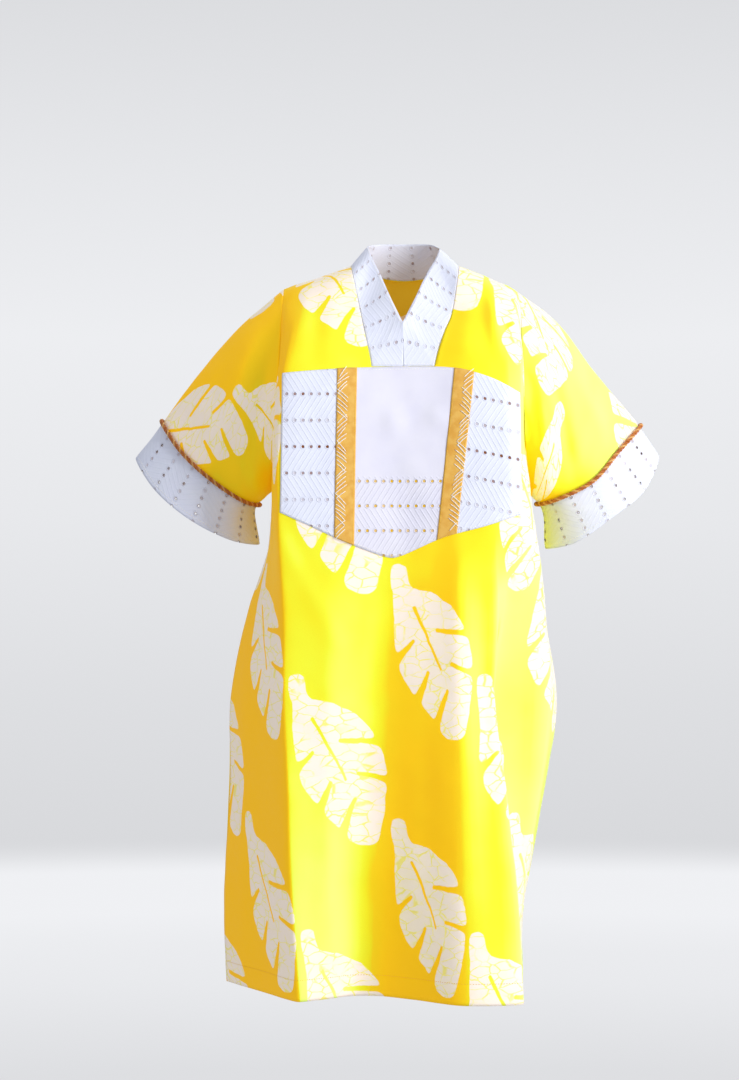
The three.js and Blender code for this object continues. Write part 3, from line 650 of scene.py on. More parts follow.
def printed_cotton(name, tones, strength):
    """The print on a ground whose painted light and shade run from a pale highlight on the wearer's left to
    amber shade on the right.
    """
    finish = Finish(name, Roughness=0.62, Sheen_Weight=0.03, Sheen_Roughness=0.5,
                    Specular_IOR_Level=0.25, Emission_Strength=1.0)
    flat = finish.flat()
    mask = leaf_mask(finish, flat)
    painted_shading = finish.level("Attribute", {"attribute_name": "painted_light_and_shade"}, None, "Fac")
    deep = painted_shading + (finish.noise(flat, 90) - 0.5) * 0.1
    # painted light: the glow grows with the painted shade and is paler on the leaves
    glow = finish.mix(deep.step(0.42, 0.75), GLOW_LIT, GLOW_DEEP)
    finish.set("Emission Color", finish.mix(mask * 0.8, glow, GLOW_PALE))
    flecks = finish.noise(flat, 1.6).step(0.45, 0.9)
    # painted light and shade: the ground's colour is read off its ramp at the painted light and shade; the
    # darker flecks are random
    ground = finish.mix(flecks * 0.14, finish.ramp(deep, tones), shaded(AMBER, 0.72))
    pale = finish.mix(finish.noise(flat, 22, 3.0).step(0.4, 0.75) * 0.35, WHITE, PALE_DYED)
    pale = finish.mix(crackle(finish, flat) * 0.8, pale, YELLOW)
    finish.set("Base Color", finish.mix(mask * strength, ground, pale))
    finish.set("Roughness", 0.58 + finish.noise(flat, 9) * 0.14 - mask * 0.05)
    finish.relief(weave(finish, flat, 0.45) * 0.05 + finish.noise(flat, 5, 3.0) * 0.10)
    return finish.material


ROW = 35.7
EYELET_PITCH = 11.0
EYELET_EDGE = (2.1, 1.7)
CLEAR_EDGE = (1.5, 1.3)
RIM_RADIUS = 2.8
ZIGZAG_PITCH = 7.6
ZIGZAG_SLANT = 0.62


def eyelet_cloth(name, base, hole, clear, tucks, see_through=False, plain=None, row=ROW, start=0.0):
    """White cloth with rows of eyelets and stitched zigzags between them.

    Rows run across the cloth. clear says how clearly each row's holes show, and plain is a stretch
    of the cloth with neither. hole is a painted shade colour for what lies behind the holes, and the
    zigzag tucks and the rims round the holes are tinted darker as painted shade."""
    finish = Finish(name, Roughness=0.7, Sheen_Weight=0.15, Sheen_Roughness=0.5, Specular_IOR_Level=0.3)
    flat = finish.flat()
    across, down, _ = finish.parts(flat)
    rows, slots = (down - start) / row, across / EYELET_PITCH
    row_number = (rows + 0.5).maths("FLOOR")
    fall = ((rows + 0.5).maths("FRACT") - 0.5) * row
    step = (slots.maths("FRACT") - 0.5) * EYELET_PITCH
    chance = finish.level("TexWhiteNoise", {"noise_dimensions": "3D"},
                          {"Vector": finish.vector(slots.maths("FLOOR"), row_number)}, "Value")
    gap = (step * step + fall * fall).maths("SQRT")
    stops = [(place / len(clear), (share, share, share)) for place, share in enumerate(clear)]
    by_row = finish.ramp((row_number + 0.5) / len(clear), stops, "CONSTANT")
    shown = (chance * 0.55 + finish.parts(by_row, "SeparateColor")[0] - 0.2).clipped()
    rim = (gap - RIM_RADIUS).maths("ABSOLUTE").step(1.0, 0.1)
    turn = (rows * 0.5).swing() * (2.0 * row)
    zigzag = ((across + turn * ZIGZAG_SLANT) / ZIGZAG_PITCH).swing() * ZIGZAG_PITCH
    tuck = zigzag.step(1.5, 0.2) * fall.maths("ABSOLUTE").step(3.4, 4.6) * tucks
    if plain is not None:
        worked = (down - plain).step(-1.0, 1.0)
        rim, tuck, shown = rim * worked, tuck * worked, shown * worked
    holes = gap.step(*EYELET_EDGE) * shown
    soft = finish.noise(flat, 40, 3.0)
    tint = base
    # painted shade: the zigzag tucks and the rims round the holes are tinted darker; the soft tint follows
    # random noise
    for amount, shade in ((soft.step(0.35, 0.7) * 0.5, (0.93, 0.93, 0.985)),
                          (tuck * 0.18, (0.80, 0.82, 0.95)), (rim * 0.3, (0.86, 0.83, 0.86))):
        tint = finish.mix(amount, tint, shaded(base, shade))
    # painted shade: the holes take the hole colour, for what lies behind them
    finish.set("Base Color", finish.mix(holes, tint, hole))
    if see_through:
        finish.set("Alpha", 1.0 - gap.step(*CLEAR_EDGE) * chance.step(0.5, 0.52))
    finish.relief(weave(finish, flat, 0.5) * 0.05 + rim * 0.45 + tuck * 0.55 - holes * 0.9 + soft * 0.2)
    return finish.material


def ochre_cloth():
    finish = Finish("ochre_cloth", Roughness=0.6, Sheen_Weight=0.2, Sheen_Roughness=0.4)
    flat = finish.flat()
    ribs = finish.parts(flat)[1].ribs(1.1)
    base = finish.mix(finish.noise(flat, 12, 3.0).step(0.3, 0.7), srgb(226, 168, 62), srgb(238, 192, 92))
    finish.set("Base Color", finish.mix(ribs * 0.25, base, srgb(190, 116, 36)))
    finish.relief(ribs * 0.16 + finish.noise(flat, 3) * 0.1)
    return finish.material


def thread(name, colour, dark):
    finish = Finish(name, Roughness=0.5, Sheen_Weight=0.1)
    lay = finish.noise(finish.millimetres(finish.node("TexCoord").outputs["Object"]), 0.8)
    finish.set("Base Color", finish.mix(lay.step(0.4, 0.75) * 0.6, colour, dark))
    finish.relief(lay * 0.2)
    return finish.material


def braid_strand(name, colour, dark):
    finish = Finish(name, Roughness=0.48, Sheen_Weight=0.15, Sheen_Roughness=0.35)
    flat = finish.flat()
    across, down, _ = finish.parts(flat)
    lay = (across + down * 0.8).ribs(1.3)
    base = finish.mix(finish.noise(flat, 6, 3.0).step(0.3, 0.7), colour, dark)
    finish.set("Base Color", finish.mix(lay * 0.45, base, shaded(dark, 0.5)))
    finish.relief(lay * 0.22)
    return finish.material


COTTON_FINISHES = [printed_cotton("printed_cotton", TONES, 1.0),
                   printed_cotton("printed_cotton_inside", INSIDE_TONES, 0.75)]
WHITE_CLOTH = srgb(224, 228, 244)
# painted shade: the brown seen through the eyelet holes; the centre's holes are painted the yellow cloth
# beneath in shade, and the cuff's holes browner round their see-through middles
HOLE = srgb(132, 74, 40)
BAND_CLOTH = eyelet_cloth("white_eyelet_band", WHITE_CLOTH, HOLE, (0.45, 0.3), 0.3, row=34.0)
BIB_CLOTH = eyelet_cloth("white_eyelet_bib", WHITE_CLOTH, HOLE, (0.3, 0.6, 0.4, 0.9, 0.45, 0.15, 0.3), 0.55)
CENTRE_CLOTH = eyelet_cloth("white_eyelet_centre", srgb(224, 223, 237), srgb(226, 178, 30), (0.9, 0.8), 0.6,
                            plain=147.0, row=33.5, start=187.0)
CUFF_CLOTH = eyelet_cloth("white_eyelet_cuff", WHITE_CLOTH, srgb(158, 108, 76), (0.25, 0.4), 0.3,
                          see_through=True, row=33.0)
OCHRE = ochre_cloth()
YELLOW_THREAD = thread("yellow_thread", srgb(236, 190, 20), srgb(200, 150, 10))
WHITE_THREAD = thread("white_thread", srgb(246, 244, 238), srgb(208, 200, 190))
BRAID_DARK = braid_strand("braid_brown", srgb(214, 128, 44), srgb(178, 92, 26))
BRAID_PALE = braid_strand("braid_pale", srgb(240, 188, 116), srgb(222, 158, 82))


# ---- body panels

CELLS_DOWN = [6, 6, 12, 12, 14, 14, 12, 16, 18, 26, 22, 20, 20, 22]
FRONT_CELLS = [14, 13, 12, 13, 12, 12, 10, 9, 9, 12, 14]
BACK_CELLS = [14, 13, 11, 10, 10, 10, 10, 10, 12, 14]
FRONT_CORE = (0, 40, -450)
BACK_CORE = (0, -20, -450)
STITCH_HEIGHT = HEM_DEPTH - 2.5
HEM_RISE = 0.45
# height and size of the larger and of the smaller waves, and how far down they grow from nothing
BODY_WAVES = ((1.1, 95), (0.35, 32))
BODY_FADE = (10, 90)
# depth and width of the cloth drawn in along seams
SEWN_EDGE = (0.2, 1.6)
SHOULDER_SEAM = (0.5, 2.0)
HEM_SEAM = (0.55, 1.3)
# start and end in x and z, height and width
FRONT_RIPPLES = [
    ((139, -12), (144, -104), -2.6, 9), ((118, -10), (126, -100), 1.6, 9),
    ((-118, 4), (-122, -110), -1.2, 12), ((-172, -300), (-120, -420), -1.6, 13),
    ((-168, -330), (-80, -520), 1.5, 16), ((168, -300), (120, -420), -1.8, 12),
    ((-240, -672), (-60, -676), -0.5, 3), ((-60, -676), (150, -668), -0.35, 3),
    ((-95, -430), (-110, -960), 2.0, 17), ((-45, -500), (-58, -980), -1.8, 20),
    ((76, -400), (84, -978), 2.6, 13), ((104, -420), (124, -978), -2.2, 13),
    ((74, -362), (79, -640), 2.4, 14), ((110, -366), (113, -680), -2.6, 16),
    ((-215, -420), (-225, -960), 2.4, 14), ((195, -420), (165, -900), 1.8, 12),
    ((20, -700), (30, -983), 1.2, 15), ((-30, -400), (-38, -900), -1.5, 26),
]
BACK_RIPPLES = [
    ((-60, -60), (-64, -360), -3.7, 16), ((60, -60), (70, -400), -3.4, 16),
    ((-20, -130), (-30, -560), 3.1, 18), ((28, -200), (20, -620), -3.1, 17),
    ((-110, -260), (-170, -430), 3.4, 16), ((112, -260), (160, -430), 3.4, 16),
    ((-160, -480), (-165, -970), -3.7, 18), ((150, -480), (145, -970), -3.4, 16),
    ((0, -560), (-20, -975), 3.7, 20), ((-62, -540), (-64, -975), -4.1, 18),
    ((-240, -672), (150, -672), -0.5, 3),
]
# how far the print is moved: across the panels, down on the shoulders, and into the folds below the bib
FRONT_PRINT = 16.0
BACK_PRINT = 60.0
LEFT_SHOULDER_PRINT = 92
RIGHT_SHOULDER_PRINT = 7
FOLD_PRINT = 18
TUCK_PRINT = 34


def cells_along(cells):
    """Numbers along a row of spans, each split into its own count of cells."""
    parts = [np.linspace(span, span + 1, count, endpoint=False) for span, count in enumerate(cells)]
    return np.concatenate(parts + [[len(cells)]])


def wave(points, size, seed):
    """Smooth noise from -1 to 1 at each point of a grid."""
    shift = Vector((seed * 7.3, seed * 3.1, seed * 5.7))
    flat = points.reshape(-1, 3) / size
    values = [noise.noise(Vector(point) + shift) for point in flat]
    return np.array(values).reshape(points.shape[:2]) * 1.6


def ripple(points, start, end, height, width):
    """A soft fold in x and z from start to end, dying out at both."""
    start, end = np.array(start, float), np.array(end, float)
    along = end - start
    offset = points[..., [0, 2]] - start
    share = np.clip(offset @ along / (along @ along), 0, 1)
    gap = np.linalg.norm(offset - share[..., None] * along, axis=-1)
    return height * np.exp(-(gap / width) ** 2) * np.sin(math.pi * (0.08 + 0.84 * share))


def soft_folds(points, seed, waves, fade, ripples):
    """The height of larger and smaller waves, faded, and of ripples at each point."""
    (high, far), (low, near) = waves
    lift = (high * wave(points, far, seed) + low * wave(points, near, seed + 5)) * fade
    for crease in ripples:
        lift = lift + ripple(points, *crease)
    return lift


def raised(base, out, lift):
    """Points lifted along their normals, but for the first row, which stays in its seam."""
    points = base + out * lift[..., None]
    points[0] = base[0]
    return points


def flat_of(points, zero_x, zero_z):
    """Cloth coordinates in millimetres: how far across from zero_x and how far down from zero_z."""
    run_across, run_down = lengths(points, 1), lengths(points, 0)
    across = np.array([line - np.interp(zero_x, place, line)
                       for line, place in zip(run_across, points[..., 0])])
    down = np.array([line - np.interp(-zero_z, -place, line)
                     for line, place in zip(run_down.T, points[..., 2].T)]).T
    return np.stack([across, down], axis=-1)


def finished_edges(points):
    """Seams drawn in along the edges of a panel, and a turned hem at its foot."""
    across, down = lengths(points, 1), lengths(points, 0)
    foot = down[-1:] - down
    lift = dip(across, *SEWN_EDGE) + dip(across[:, -1:] - across, *SEWN_EDGE) + dip(down, *SHOULDER_SEAM)
    lift = lift + HEM_RISE * smoothstep(foot, HEM_DEPTH + 1.5, HEM_DEPTH - 1.5) * smoothstep(foot, -0.5, 2.5)
    return lift + dip(foot - STITCH_HEIGHT, *HEM_SEAM)


def body_panel(folds, numbers, core, ripples, seed):
    """The points of a panel with its soft folds and finished edges, and its normals."""
    base = panel(folds, ROWS_DOWN, numbers)
    out = normals(base, core)
    lift = soft_folds(base, seed, BODY_WAVES, smoothstep(-base[..., 2], *BODY_FADE), ripples)
    return raised(base, out, lift + finished_edges(base)), out


def front_print(points, numbers):
    """The front's cloth coordinates: the print lies deeper in its folds and lower on its shoulders."""
    x, z = points[..., 0], points[..., 2]
    flat = flat_of(points, 0, -391) + np.array([FRONT_PRINT, 0.0])
    flat[..., 1] -= smoothstep(z, -260, -135) * (LEFT_SHOULDER_PRINT * smoothstep(x, -40, 45)
                                                 + RIGHT_SHOULDER_PRINT * smoothstep(x, -30, -60))
    tucked = smoothstep(numbers, fold_number(FRONT_FOLDS, "fold_l") + 0.1,
                        fold_number(FRONT_FOLDS, "tuck_l") - 0.1)[None]
    flat[..., 0] += smoothstep(z, -300, -420) * (FOLD_PRINT * smoothstep(x, 15, 100) + TUCK_PRINT * tucked)
    return flat


def nearest(numbers, number):
    return int(np.argmin(abs(numbers - number)))


ROWS_DOWN = cells_along(CELLS_DOWN)
front_numbers = cells_along(FRONT_CELLS)
front_points, front_out = body_panel(FRONT_FOLDS, front_numbers, FRONT_CORE, FRONT_RIPPLES, 1)
neck_first, neck_last = (nearest(front_numbers, fold_number(FRONT_FOLDS, side))
                         for side in ("neck_r", "neck_l"))
hole = np.zeros(front_points.shape[:2], bool)
hole[:nearest(ROWS_DOWN, NECK_LEVEL), neck_first:neck_last] = True
front_flat = front_print(front_points, front_numbers)
front = cloth("kaftan_front", front_points, front_flat, FRONT_CORE, COTTON, COTTON_FINISHES, hole)

back_points, back_out = body_panel(BACK_FOLDS, cells_along(BACK_CELLS), BACK_CORE, BACK_RIPPLES, 2)
back_flat = flat_of(back_points, 4, -340) * (-1, 1) + np.array([BACK_PRINT, 0.0])
back = cloth("kaftan_back", back_points, back_flat, BACK_CORE, COTTON, COTTON_FINISHES)


# ---- sleeves, cuffs and braids

CAD_LEVELS = np.array([0, 1, 2, 2.5, 3, 3.5, 4, 4.5, 5, 5.5, 6, 6.5, 7])
ARMPIT_CELLS = len(CAD_LEVELS) - 1
SLEEVE_ROWS = np.concatenate([np.linspace(0, 3, 46), 3 + np.linspace(0, 1, 22)[1:]])
SEAM_ROW = 45
AROUND = np.linspace(-ARMPIT_CELLS, ARMPIT_CELLS, 145)
TOP = len(AROUND) // 2
SLEEVE_WAVES = ((0.9, 70), (0.3, 24))
SLEEVE_FADE = (5, 40)
UNDERARM_SEAM = (0.6, 1.8)
CUFF_SEAM = (0.7, 2.0)
# side, sections, whether the last fold of each panel is its armhole, core, seed and ripples of its form,
# the turn and stretch of its cloth coordinates, and its least painted shade
SLEEVES = [
    ("right", SLEEVE_RIGHT, False, (-262, 0, -200), 3,
     [((-200, -70), (-262, -250), 1.6, 10), ((-185, -110), (-214, -285), -2.2, 9),
      ((-230, -90), (-300, -235), -1.5, 12)], [(-1.555, -0.29, 291.4), (0.25, 1.25, -8.5)], 0.57),
    ("left", SLEEVE_LEFT, True, (258, 0, -200), 4,
     [((198, -80), (236, -270), -2.6, 10), ((183, -130), (205, -285), 1.8, 8),
      ((222, -80), (290, -240), 1.7, 12)], [(1.327, 0.246, 155.6), (-0.246, 1.327, 199.4)], 0.0),
]
STRANDS = 3
STRAND_SPOTS = 420
STRAND_RADIUS = 1.35
STRAND_SIDES = 7
BRAID_TURN = 13.0
BRAID_LIFT = 3.3
BRAID_DEPTH = 1.45
BRAID_WIDTH = 1.75


def sleeve_lines(table, last_end, around):
    """The lines along a sleeve: armhole, upper, middle, seam and mouth at each place round it.

    around counts cells from the top, forward positive and backward negative."""
    table = np.array(table, float)
    level = np.interp(abs(around), np.arange(ARMPIT_CELLS + 1), CAD_LEVELS)
    edges = []
    for folds in (FRONT_FOLDS, BACK_FOLDS):
        last = len(folds) - 1
        edges.append(panel(folds, level, np.array([last, last - 0.5] if last_end else [0, 0.5])))
    grid = np.where((around >= 0)[:, None, None], *edges)
    start, inset = grid[:, 0], grid[:, 1]
    number = around * len(table) / (2 * ARMPIT_CELLS)
    sections = [ring(table[:, column], number) for column in range(4)]
    turn = abs(around) / ARMPIT_CELLS
    smooth = smoothstep(1 - 2 * turn, 0, 1)[:, None]
    before = (2 * start - sections[0]) * (1 - smooth) + inset * smooth
    return np.stack([start, *sections], axis=1), before


def sleeve_form(table, last_end, core, seed, ripples):
    """The points of a sleeve with its cuff, before and after its soft folds, and its normals."""
    lines, before = sleeve_lines(table, last_end, AROUND)
    base = numbered(lines, SLEEVE_ROWS, before=before).transpose(1, 0, 2)
    base[:, -1] = base[:, 0]
    out = normals(base, core)
    run_along, run_round = lengths(base, 0), lengths(base, 1)
    lift = soft_folds(base, seed, SLEEVE_WAVES, smoothstep(run_along, *SLEEVE_FADE), ripples)
    under = np.minimum(run_round, run_round[:, -1:] - run_round)
    lift = lift + dip(under, *UNDERARM_SEAM) + dip(run_along, *SEWN_EDGE)
    lift = lift + dip(run_along - run_along[SEAM_ROW], *CUFF_SEAM)
    lift[:, -1] = lift[:, 0]
    return base, raised(base, out, lift), out


def sleeve_flat(points, grain):
    """Cloth coordinates of a sleeve, turned on the cloth from out along it and round it from its top line."""
    run_round = lengths(points, 1)
    down = run_round - run_round[:, TOP:TOP + 1]
    along = np.broadcast_to(lengths(points, 0).mean(axis=1, keepdims=True), down.shape)
    return np.stack([along, down, np.ones_like(down)], axis=-1) @ np.array(grain).T


def cuff_flat(points):
    run_round = lengths(points, 1).mean(axis=0, keepdims=True)
    return paired(lengths(points, 0).mean(axis=1, keepdims=True), run_round - run_round[:, TOP:TOP + 1])


def braid(side, seam_line, seam_out):
    """Three strands twisted together over a cuff's seam."""
    spots = np.linspace(0, len(seam_line), STRAND_SPOTS, endpoint=False)
    line, outward = ring(seam_line, spots), unit(ring(seam_out, spots))
    tangent = unit(np.roll(line, -1, axis=0) - np.roll(line, 1, axis=0))
    sideways = np.cross(tangent, outward)
    turns = round(lengths(np.vstack([line, line[:1]])[None], 1)[0, -1] / BRAID_TURN)
    for strand in range(STRANDS):
        angle = 2 * math.pi * (turns * np.arange(STRAND_SPOTS) / STRAND_SPOTS + strand / STRANDS)
        bm = bmesh.new()
        bm.loops.layers.uv.new("cloth")
        cord(bm, line + outward * (BRAID_LIFT + BRAID_DEPTH * np.cos(angle))[:, None]
             + sideways * (BRAID_WIDTH * np.sin(angle))[:, None], STRAND_RADIUS, STRAND_SIDES, closed=True)
        piece = make_solid(f"braid_{side}_strand_{strand + 1}", bm, BRAID_PALE if strand == 2 else BRAID_DARK)
        pieces[f"braid_{side}_{strand}"] = (piece, None, None)


pieces = {}
for side, table, last_end, core, seed, ripples, grain, least in SLEEVES:
    base, points, out = sleeve_form(table, last_end, core, seed, ripples)
    sleeve, cuff = points[:SEAM_ROW + 1], points[SEAM_ROW:]
    piece = cloth(f"sleeve_{side}_cloth", sleeve, sleeve_flat(sleeve, grain), core, COTTON, COTTON_FINISHES,
                  least=least)
    pieces[f"sleeve_{side}"] = (piece, sleeve, out[:SEAM_ROW + 1])
    piece = cloth(f"cuff_{side}_cloth", cuff, cuff_flat(cuff), core, CUFF, [CUFF_CLOTH])
    pieces[f"cuff_{side}"] = (piece, cuff, out[SEAM_ROW:])
    braid(side, base[SEAM_ROW, :-1], out[SEAM_ROW, :-1])


# ---- neck bands

NECK_CELLS = np.array([0, 1, 2, 4, 6])
NECK_EDGE_X = 36
STEEPNESS = 0.84
BAND_SEAM = (0.7, 1.8)
BAND_FOLD = (0.3, 0.9)
BAND_FOLD_DEPTH = 3.0


def band(name, sewn, free_edge, shares, core, flatten=None):
    """A neck band between its sewn and its free edge; flatten gives its cloth coordinates."""
    free = one_run(free_edge, shares * (len(free_edge) - 1))
    width = np.linspace(0, 1, 20)[:, None, None]
    points = free[None] * (1 - width) + sewn[None] * width
    out = normals(points, core)
    across = lengths(points, 0)
    edge = np.minimum(across, across[-1:] - across)
    lift = 0.35 * wave(points, 30, 9) * smoothstep(edge, 0, 8) + dip(across[-1:] - across, *BAND_SEAM)
    lift = lift + dip(across - BAND_FOLD_DEPTH, *BAND_FOLD)
    points = points + out * lift[..., None]
    flat = flatten(points) if flatten else paired(across, lengths(points, 1).mean(axis=0, keepdims=True))
    return cloth(name, points, flat, core, TRIM, [BAND_CLOTH]), points, out


def front_band(name, line_name, free_edge):
    line, centre = fold_number(FRONT_FOLDS, line_name), fold_number(FRONT_FOLDS, "centre")
    level = np.linspace(0, NECK_LEVEL, 64)
    down = panel(FRONT_FOLDS, level, np.array([line]))[:, 0]
    numbers = np.linspace(line, centre, 22)[1:]
    inward = panel(FRONT_FOLDS, np.array([NECK_LEVEL]), numbers)[0]
    shares = np.concatenate([
        CORNER_SHARE * np.interp(level, np.arange(5), NECK_CELLS) / NECK_CELLS[-1],
        CORNER_SHARE + (1 - CORNER_SHARE) * (numbers - line) / (centre - line)])
    outward = -1 if line < centre else 1

    def flatten(points):
        """Rows of eyelets cross the band, steeply at the shoulder and nearly level under the V."""
        x, z = outward * points[..., 0] - NECK_EDGE_X, points[..., 2]
        steep = 1 - STEEPNESS + STEEPNESS * smoothstep(z, -115, 30)
        return np.stack([x * np.sqrt(1 + steep ** 2), -z - steep * x + 8], axis=-1)

    return band(name, np.vstack([down, inward]), free_edge, shares, (0, 30, -60), flatten)


pieces["neck_band_right"] = front_band("neck_band_right_cloth", "neck_r", NECK_EDGE_RIGHT)
pieces["neck_band_left"] = front_band("neck_band_left_cloth", "neck_l", NECK_EDGE_LEFT)
nape_first, nape_last = fold_number(BACK_FOLDS, "neck_r"), fold_number(BACK_FOLDS, "neck_l")
nape_numbers = np.linspace(nape_first, nape_last, 70)
nape_shares = (nape_numbers - nape_first) / (nape_last - nape_first)
nape = panel(BACK_FOLDS, np.array([0.0]), nape_numbers)[0]
pieces["neck_band_back"] = band("neck_band_back_cloth", nape, NECK_EDGE_BACK, nape_shares, (3, 0, 0))


# ---- bib and strips

CHEST_CORE = (0, 0, -240)
CHEST_DEPTH = -45
CHEST_STEP = 4.0
CENTRE_DENTS = [((-13, -197), 2.8, 17), ((45, -191), 2.2, 15), ((-44, -160), 1.2, 15), ((16, -262), 1.2, 28),
                ((14, -152), 0.9, 18)]
THREAD_GAP = 6.0
THREAD_RADIUS = 0.55
THREAD_SIDES = 6
THREAD_SLANT = 6.8

chest_x = np.linspace(-176, 172, 175)
chest_rows = [row[np.argsort(row[:, 0])] for row in front_points[(ROWS_DOWN >= 3.4) & (ROWS_DOWN <= 8.6)]]
chest_z = np.array([row[:, 2].mean() for row in chest_rows])
chest_y = np.array([np.interp(chest_x, *row[row[:, 1] < CHEST_DEPTH, :2].T) for row in chest_rows])


def chest(x, z):
    """How far forward the front's cloth lies at x and z."""
    column = np.interp(x, chest_x, np.arange(len(chest_x)))
    row = np.interp(-z, -chest_z, np.arange(len(chest_z)))
    i, j = np.minimum(column.astype(int), len(chest_x) - 2), np.minimum(row.astype(int), len(chest_z) - 2)
    s, t = column - i, row - j
    return ((chest_y[j, i] * (1 - s) + chest_y[j, i + 1] * s) * (1 - t)
            + (chest_y[j + 1, i] * (1 - s) + chest_y[j + 1, i + 1] * s) * t)


def laid(x, z, lift):
    """Points laid on the chest at x and z, lifted off it, with their normals."""
    slope_x = (chest(x + CHEST_STEP, z) - chest(x - CHEST_STEP, z)) / (2 * CHEST_STEP)
    slope_z = (chest(x, z + CHEST_STEP) - chest(x, z - CHEST_STEP)) / (2 * CHEST_STEP)
    out = unit(np.stack([slope_x, -np.ones_like(x), slope_z], axis=-1))
    return np.stack([x, chest(x, z), z], axis=-1) + out * np.asarray(lift)[..., None], out


def bib_edges(numbers):
    crease = np.array([[POINT_CREASE if place == BIB_POINT else 0 for place in range(len(BIB_TOP))]])
    return one_run(BIB_TOP, numbers, crease), one_run(BIB_BOTTOM, numbers, crease)


def bib_piece(name, first, last, columns, finish, dents=(), slope=0.0):
    """A part of the bib between two of its joins; slope tilts its rows of eyelets."""
    top, bottom = bib_edges(np.linspace(first, last, columns))
    share = np.linspace(0, 1, 72)[:, None]
    x = top[:, 0] * (1 - share) + bottom[:, 0] * share
    z = top[:, 2] * (1 - share) + bottom[:, 2] * share
    base, _ = laid(x, z, np.full(x.shape, BIB_LIFT))
    run_down = lengths(base, 0)
    edge = np.minimum(run_down, run_down[-1:] - run_down)
    lift = BIB_LIFT + 0.25 * smoothstep(edge, 0, 5) + 0.25 * wave(base, 26, 12) * smoothstep(edge, 2, 12)
    for place, height, width in dents:
        lift = lift + height * np.exp(-(np.hypot(x - place[0], z - place[1]) / width) ** 2)
    points, out = laid(x, z, lift)
    flat = np.stack([x - top[0, 0], -z - 124 + slope * (x - x[:, :1])], axis=-1)
    return cloth(name, points, flat, CHEST_CORE, TRIM, [finish]), points, out


def strip_piece(name, number):
    (top,), (bottom,) = bib_edges(np.array([number]))
    share = np.linspace(0, 1, 90)[:, None]
    offset = np.linspace(-STRIP_WIDTH / 2, STRIP_WIDTH / 2, 15)[None]
    upper, lower = bib_edges(np.linspace(0, len(BIB_TOP) - 1, 300))
    x = top[0] * (1 - share) + bottom[0] * share + offset
    z = (np.interp(x[0], upper[:, 0], upper[:, 2]) * (1 - share)
         + np.interp(x[-1], lower[:, 0], lower[:, 2]) * share)
    edge = STRIP_WIDTH / 2 - abs(offset) + 0 * share
    points, out = laid(x, z, STRIP_LIFT + 0.3 * smoothstep(edge, 0, 3))
    return cloth(name, points, paired(offset, -z), CHEST_CORE, TRIM, [OCHRE]), points, out


def herringbone(name, number, from_side, to_side, seed):
    """White threads laid slantwise on a strip, in groups that change direction."""
    (top,), (bottom,) = bib_edges(np.array([number]))
    rng = np.random.default_rng(seed)
    bm = bmesh.new()
    length = math.dist(top[[0, 2]], bottom[[0, 2]])
    steps = np.linspace(-1, 1, 9)
    middle, half = 0.5 * (from_side + to_side), 0.5 * (to_side - from_side)
    place = THREAD_GAP
    while place < length - 8:
        group = int((place + 4) // ROW) % 2
        centre = top * (1 - place / length) + bottom * (place / length)
        slant = (-THREAD_SLANT if group else THREAD_SLANT) + rng.normal(0, 0.7)
        x = centre[0] + middle + steps * (half + rng.normal(0, 0.7))
        z = centre[2] + steps * slant + rng.normal(0, 0.5) + 0.5 * np.cos(steps * 2)
        points, _ = laid(x, z, STRIP_LIFT + THREAD_RADIUS + 0.25 * (1 - steps ** 4))
        cord(bm, points, THREAD_RADIUS, THREAD_SIDES)
        place += THREAD_GAP + rng.normal(0, 0.4)
    return make_solid(name, bm, WHITE_THREAD), None, None


pieces["bib_right"] = bib_piece("bib_right_cloth", 0, RIGHT_JOIN, 44, BIB_CLOTH)
pieces["bib_centre"] = bib_piece("bib_centre_cloth", RIGHT_JOIN, LEFT_JOIN, 66, CENTRE_CLOTH, CENTRE_DENTS)
pieces["bib_left"] = bib_piece("bib_left_cloth", LEFT_JOIN, len(BIB_TOP) - 1, 44, BIB_CLOTH, slope=-0.2)
pieces["strip_right"] = strip_piece("strip_right_cloth", RIGHT_JOIN)
pieces["strip_left"] = strip_piece("strip_left_cloth", LEFT_JOIN)
pieces["threads_right"] = herringbone("strip_right_threads", RIGHT_JOIN, -13.0, 1.5, 3)
pieces["threads_left"] = herringbone("strip_left_threads", LEFT_JOIN, 0.0, 14.5, 4)


# ---- stitches

# pieces, each seam's name and where it runs on their grids, and the thread
SEAMS = [
    ("bib_right bib_centre bib_left", {"_top": np.s_[1], "_foot": np.s_[-2]}, WHITE_THREAD),
    ("bib_right", {"_side": np.s_[:, 1]}, WHITE_THREAD),
    ("bib_left", {"_side": np.s_[:, -2]}, WHITE_THREAD),
    ("neck_band_right neck_band_left neck_band_back", {"_sewn": np.s_[-2], "_free": np.s_[1]},
     WHITE_THREAD),
    ("strip_right strip_left", {"_inner": np.s_[:, 1], "_outer": np.s_[:, -2]}, YELLOW_THREAD),
    ("cuff_right cuff_left", {"": np.s_[-3]}, WHITE_THREAD),
]
HEM_ROW = -20


def hem_line(points):
    """The line of a panel's hem stitches."""
    down = lengths(points, 0)
    foot = down[-1:] - down
    return np.array([[np.interp(-STITCH_HEIGHT, -foot[:, column], points[:, column, axis])
                      for axis in range(3)] for column in range(points.shape[1])])


seams = [("hem_front_stitches", hem_line(front_points), front_out[HEM_ROW], YELLOW_THREAD),
         ("hem_back_stitches", hem_line(back_points), back_out[HEM_ROW], YELLOW_THREAD)]
for names, rows, finish in SEAMS:
    for name in names.split():
        _, points, out = pieces[name]
        seams.extend((f"{name}{seam}_stitches", points[where], out[where], finish)
                     for seam, where in rows.items())
for name, *seam in seams:
    pieces[name] = (stitches(name, *seam), None, None)


# ---- what stands for what

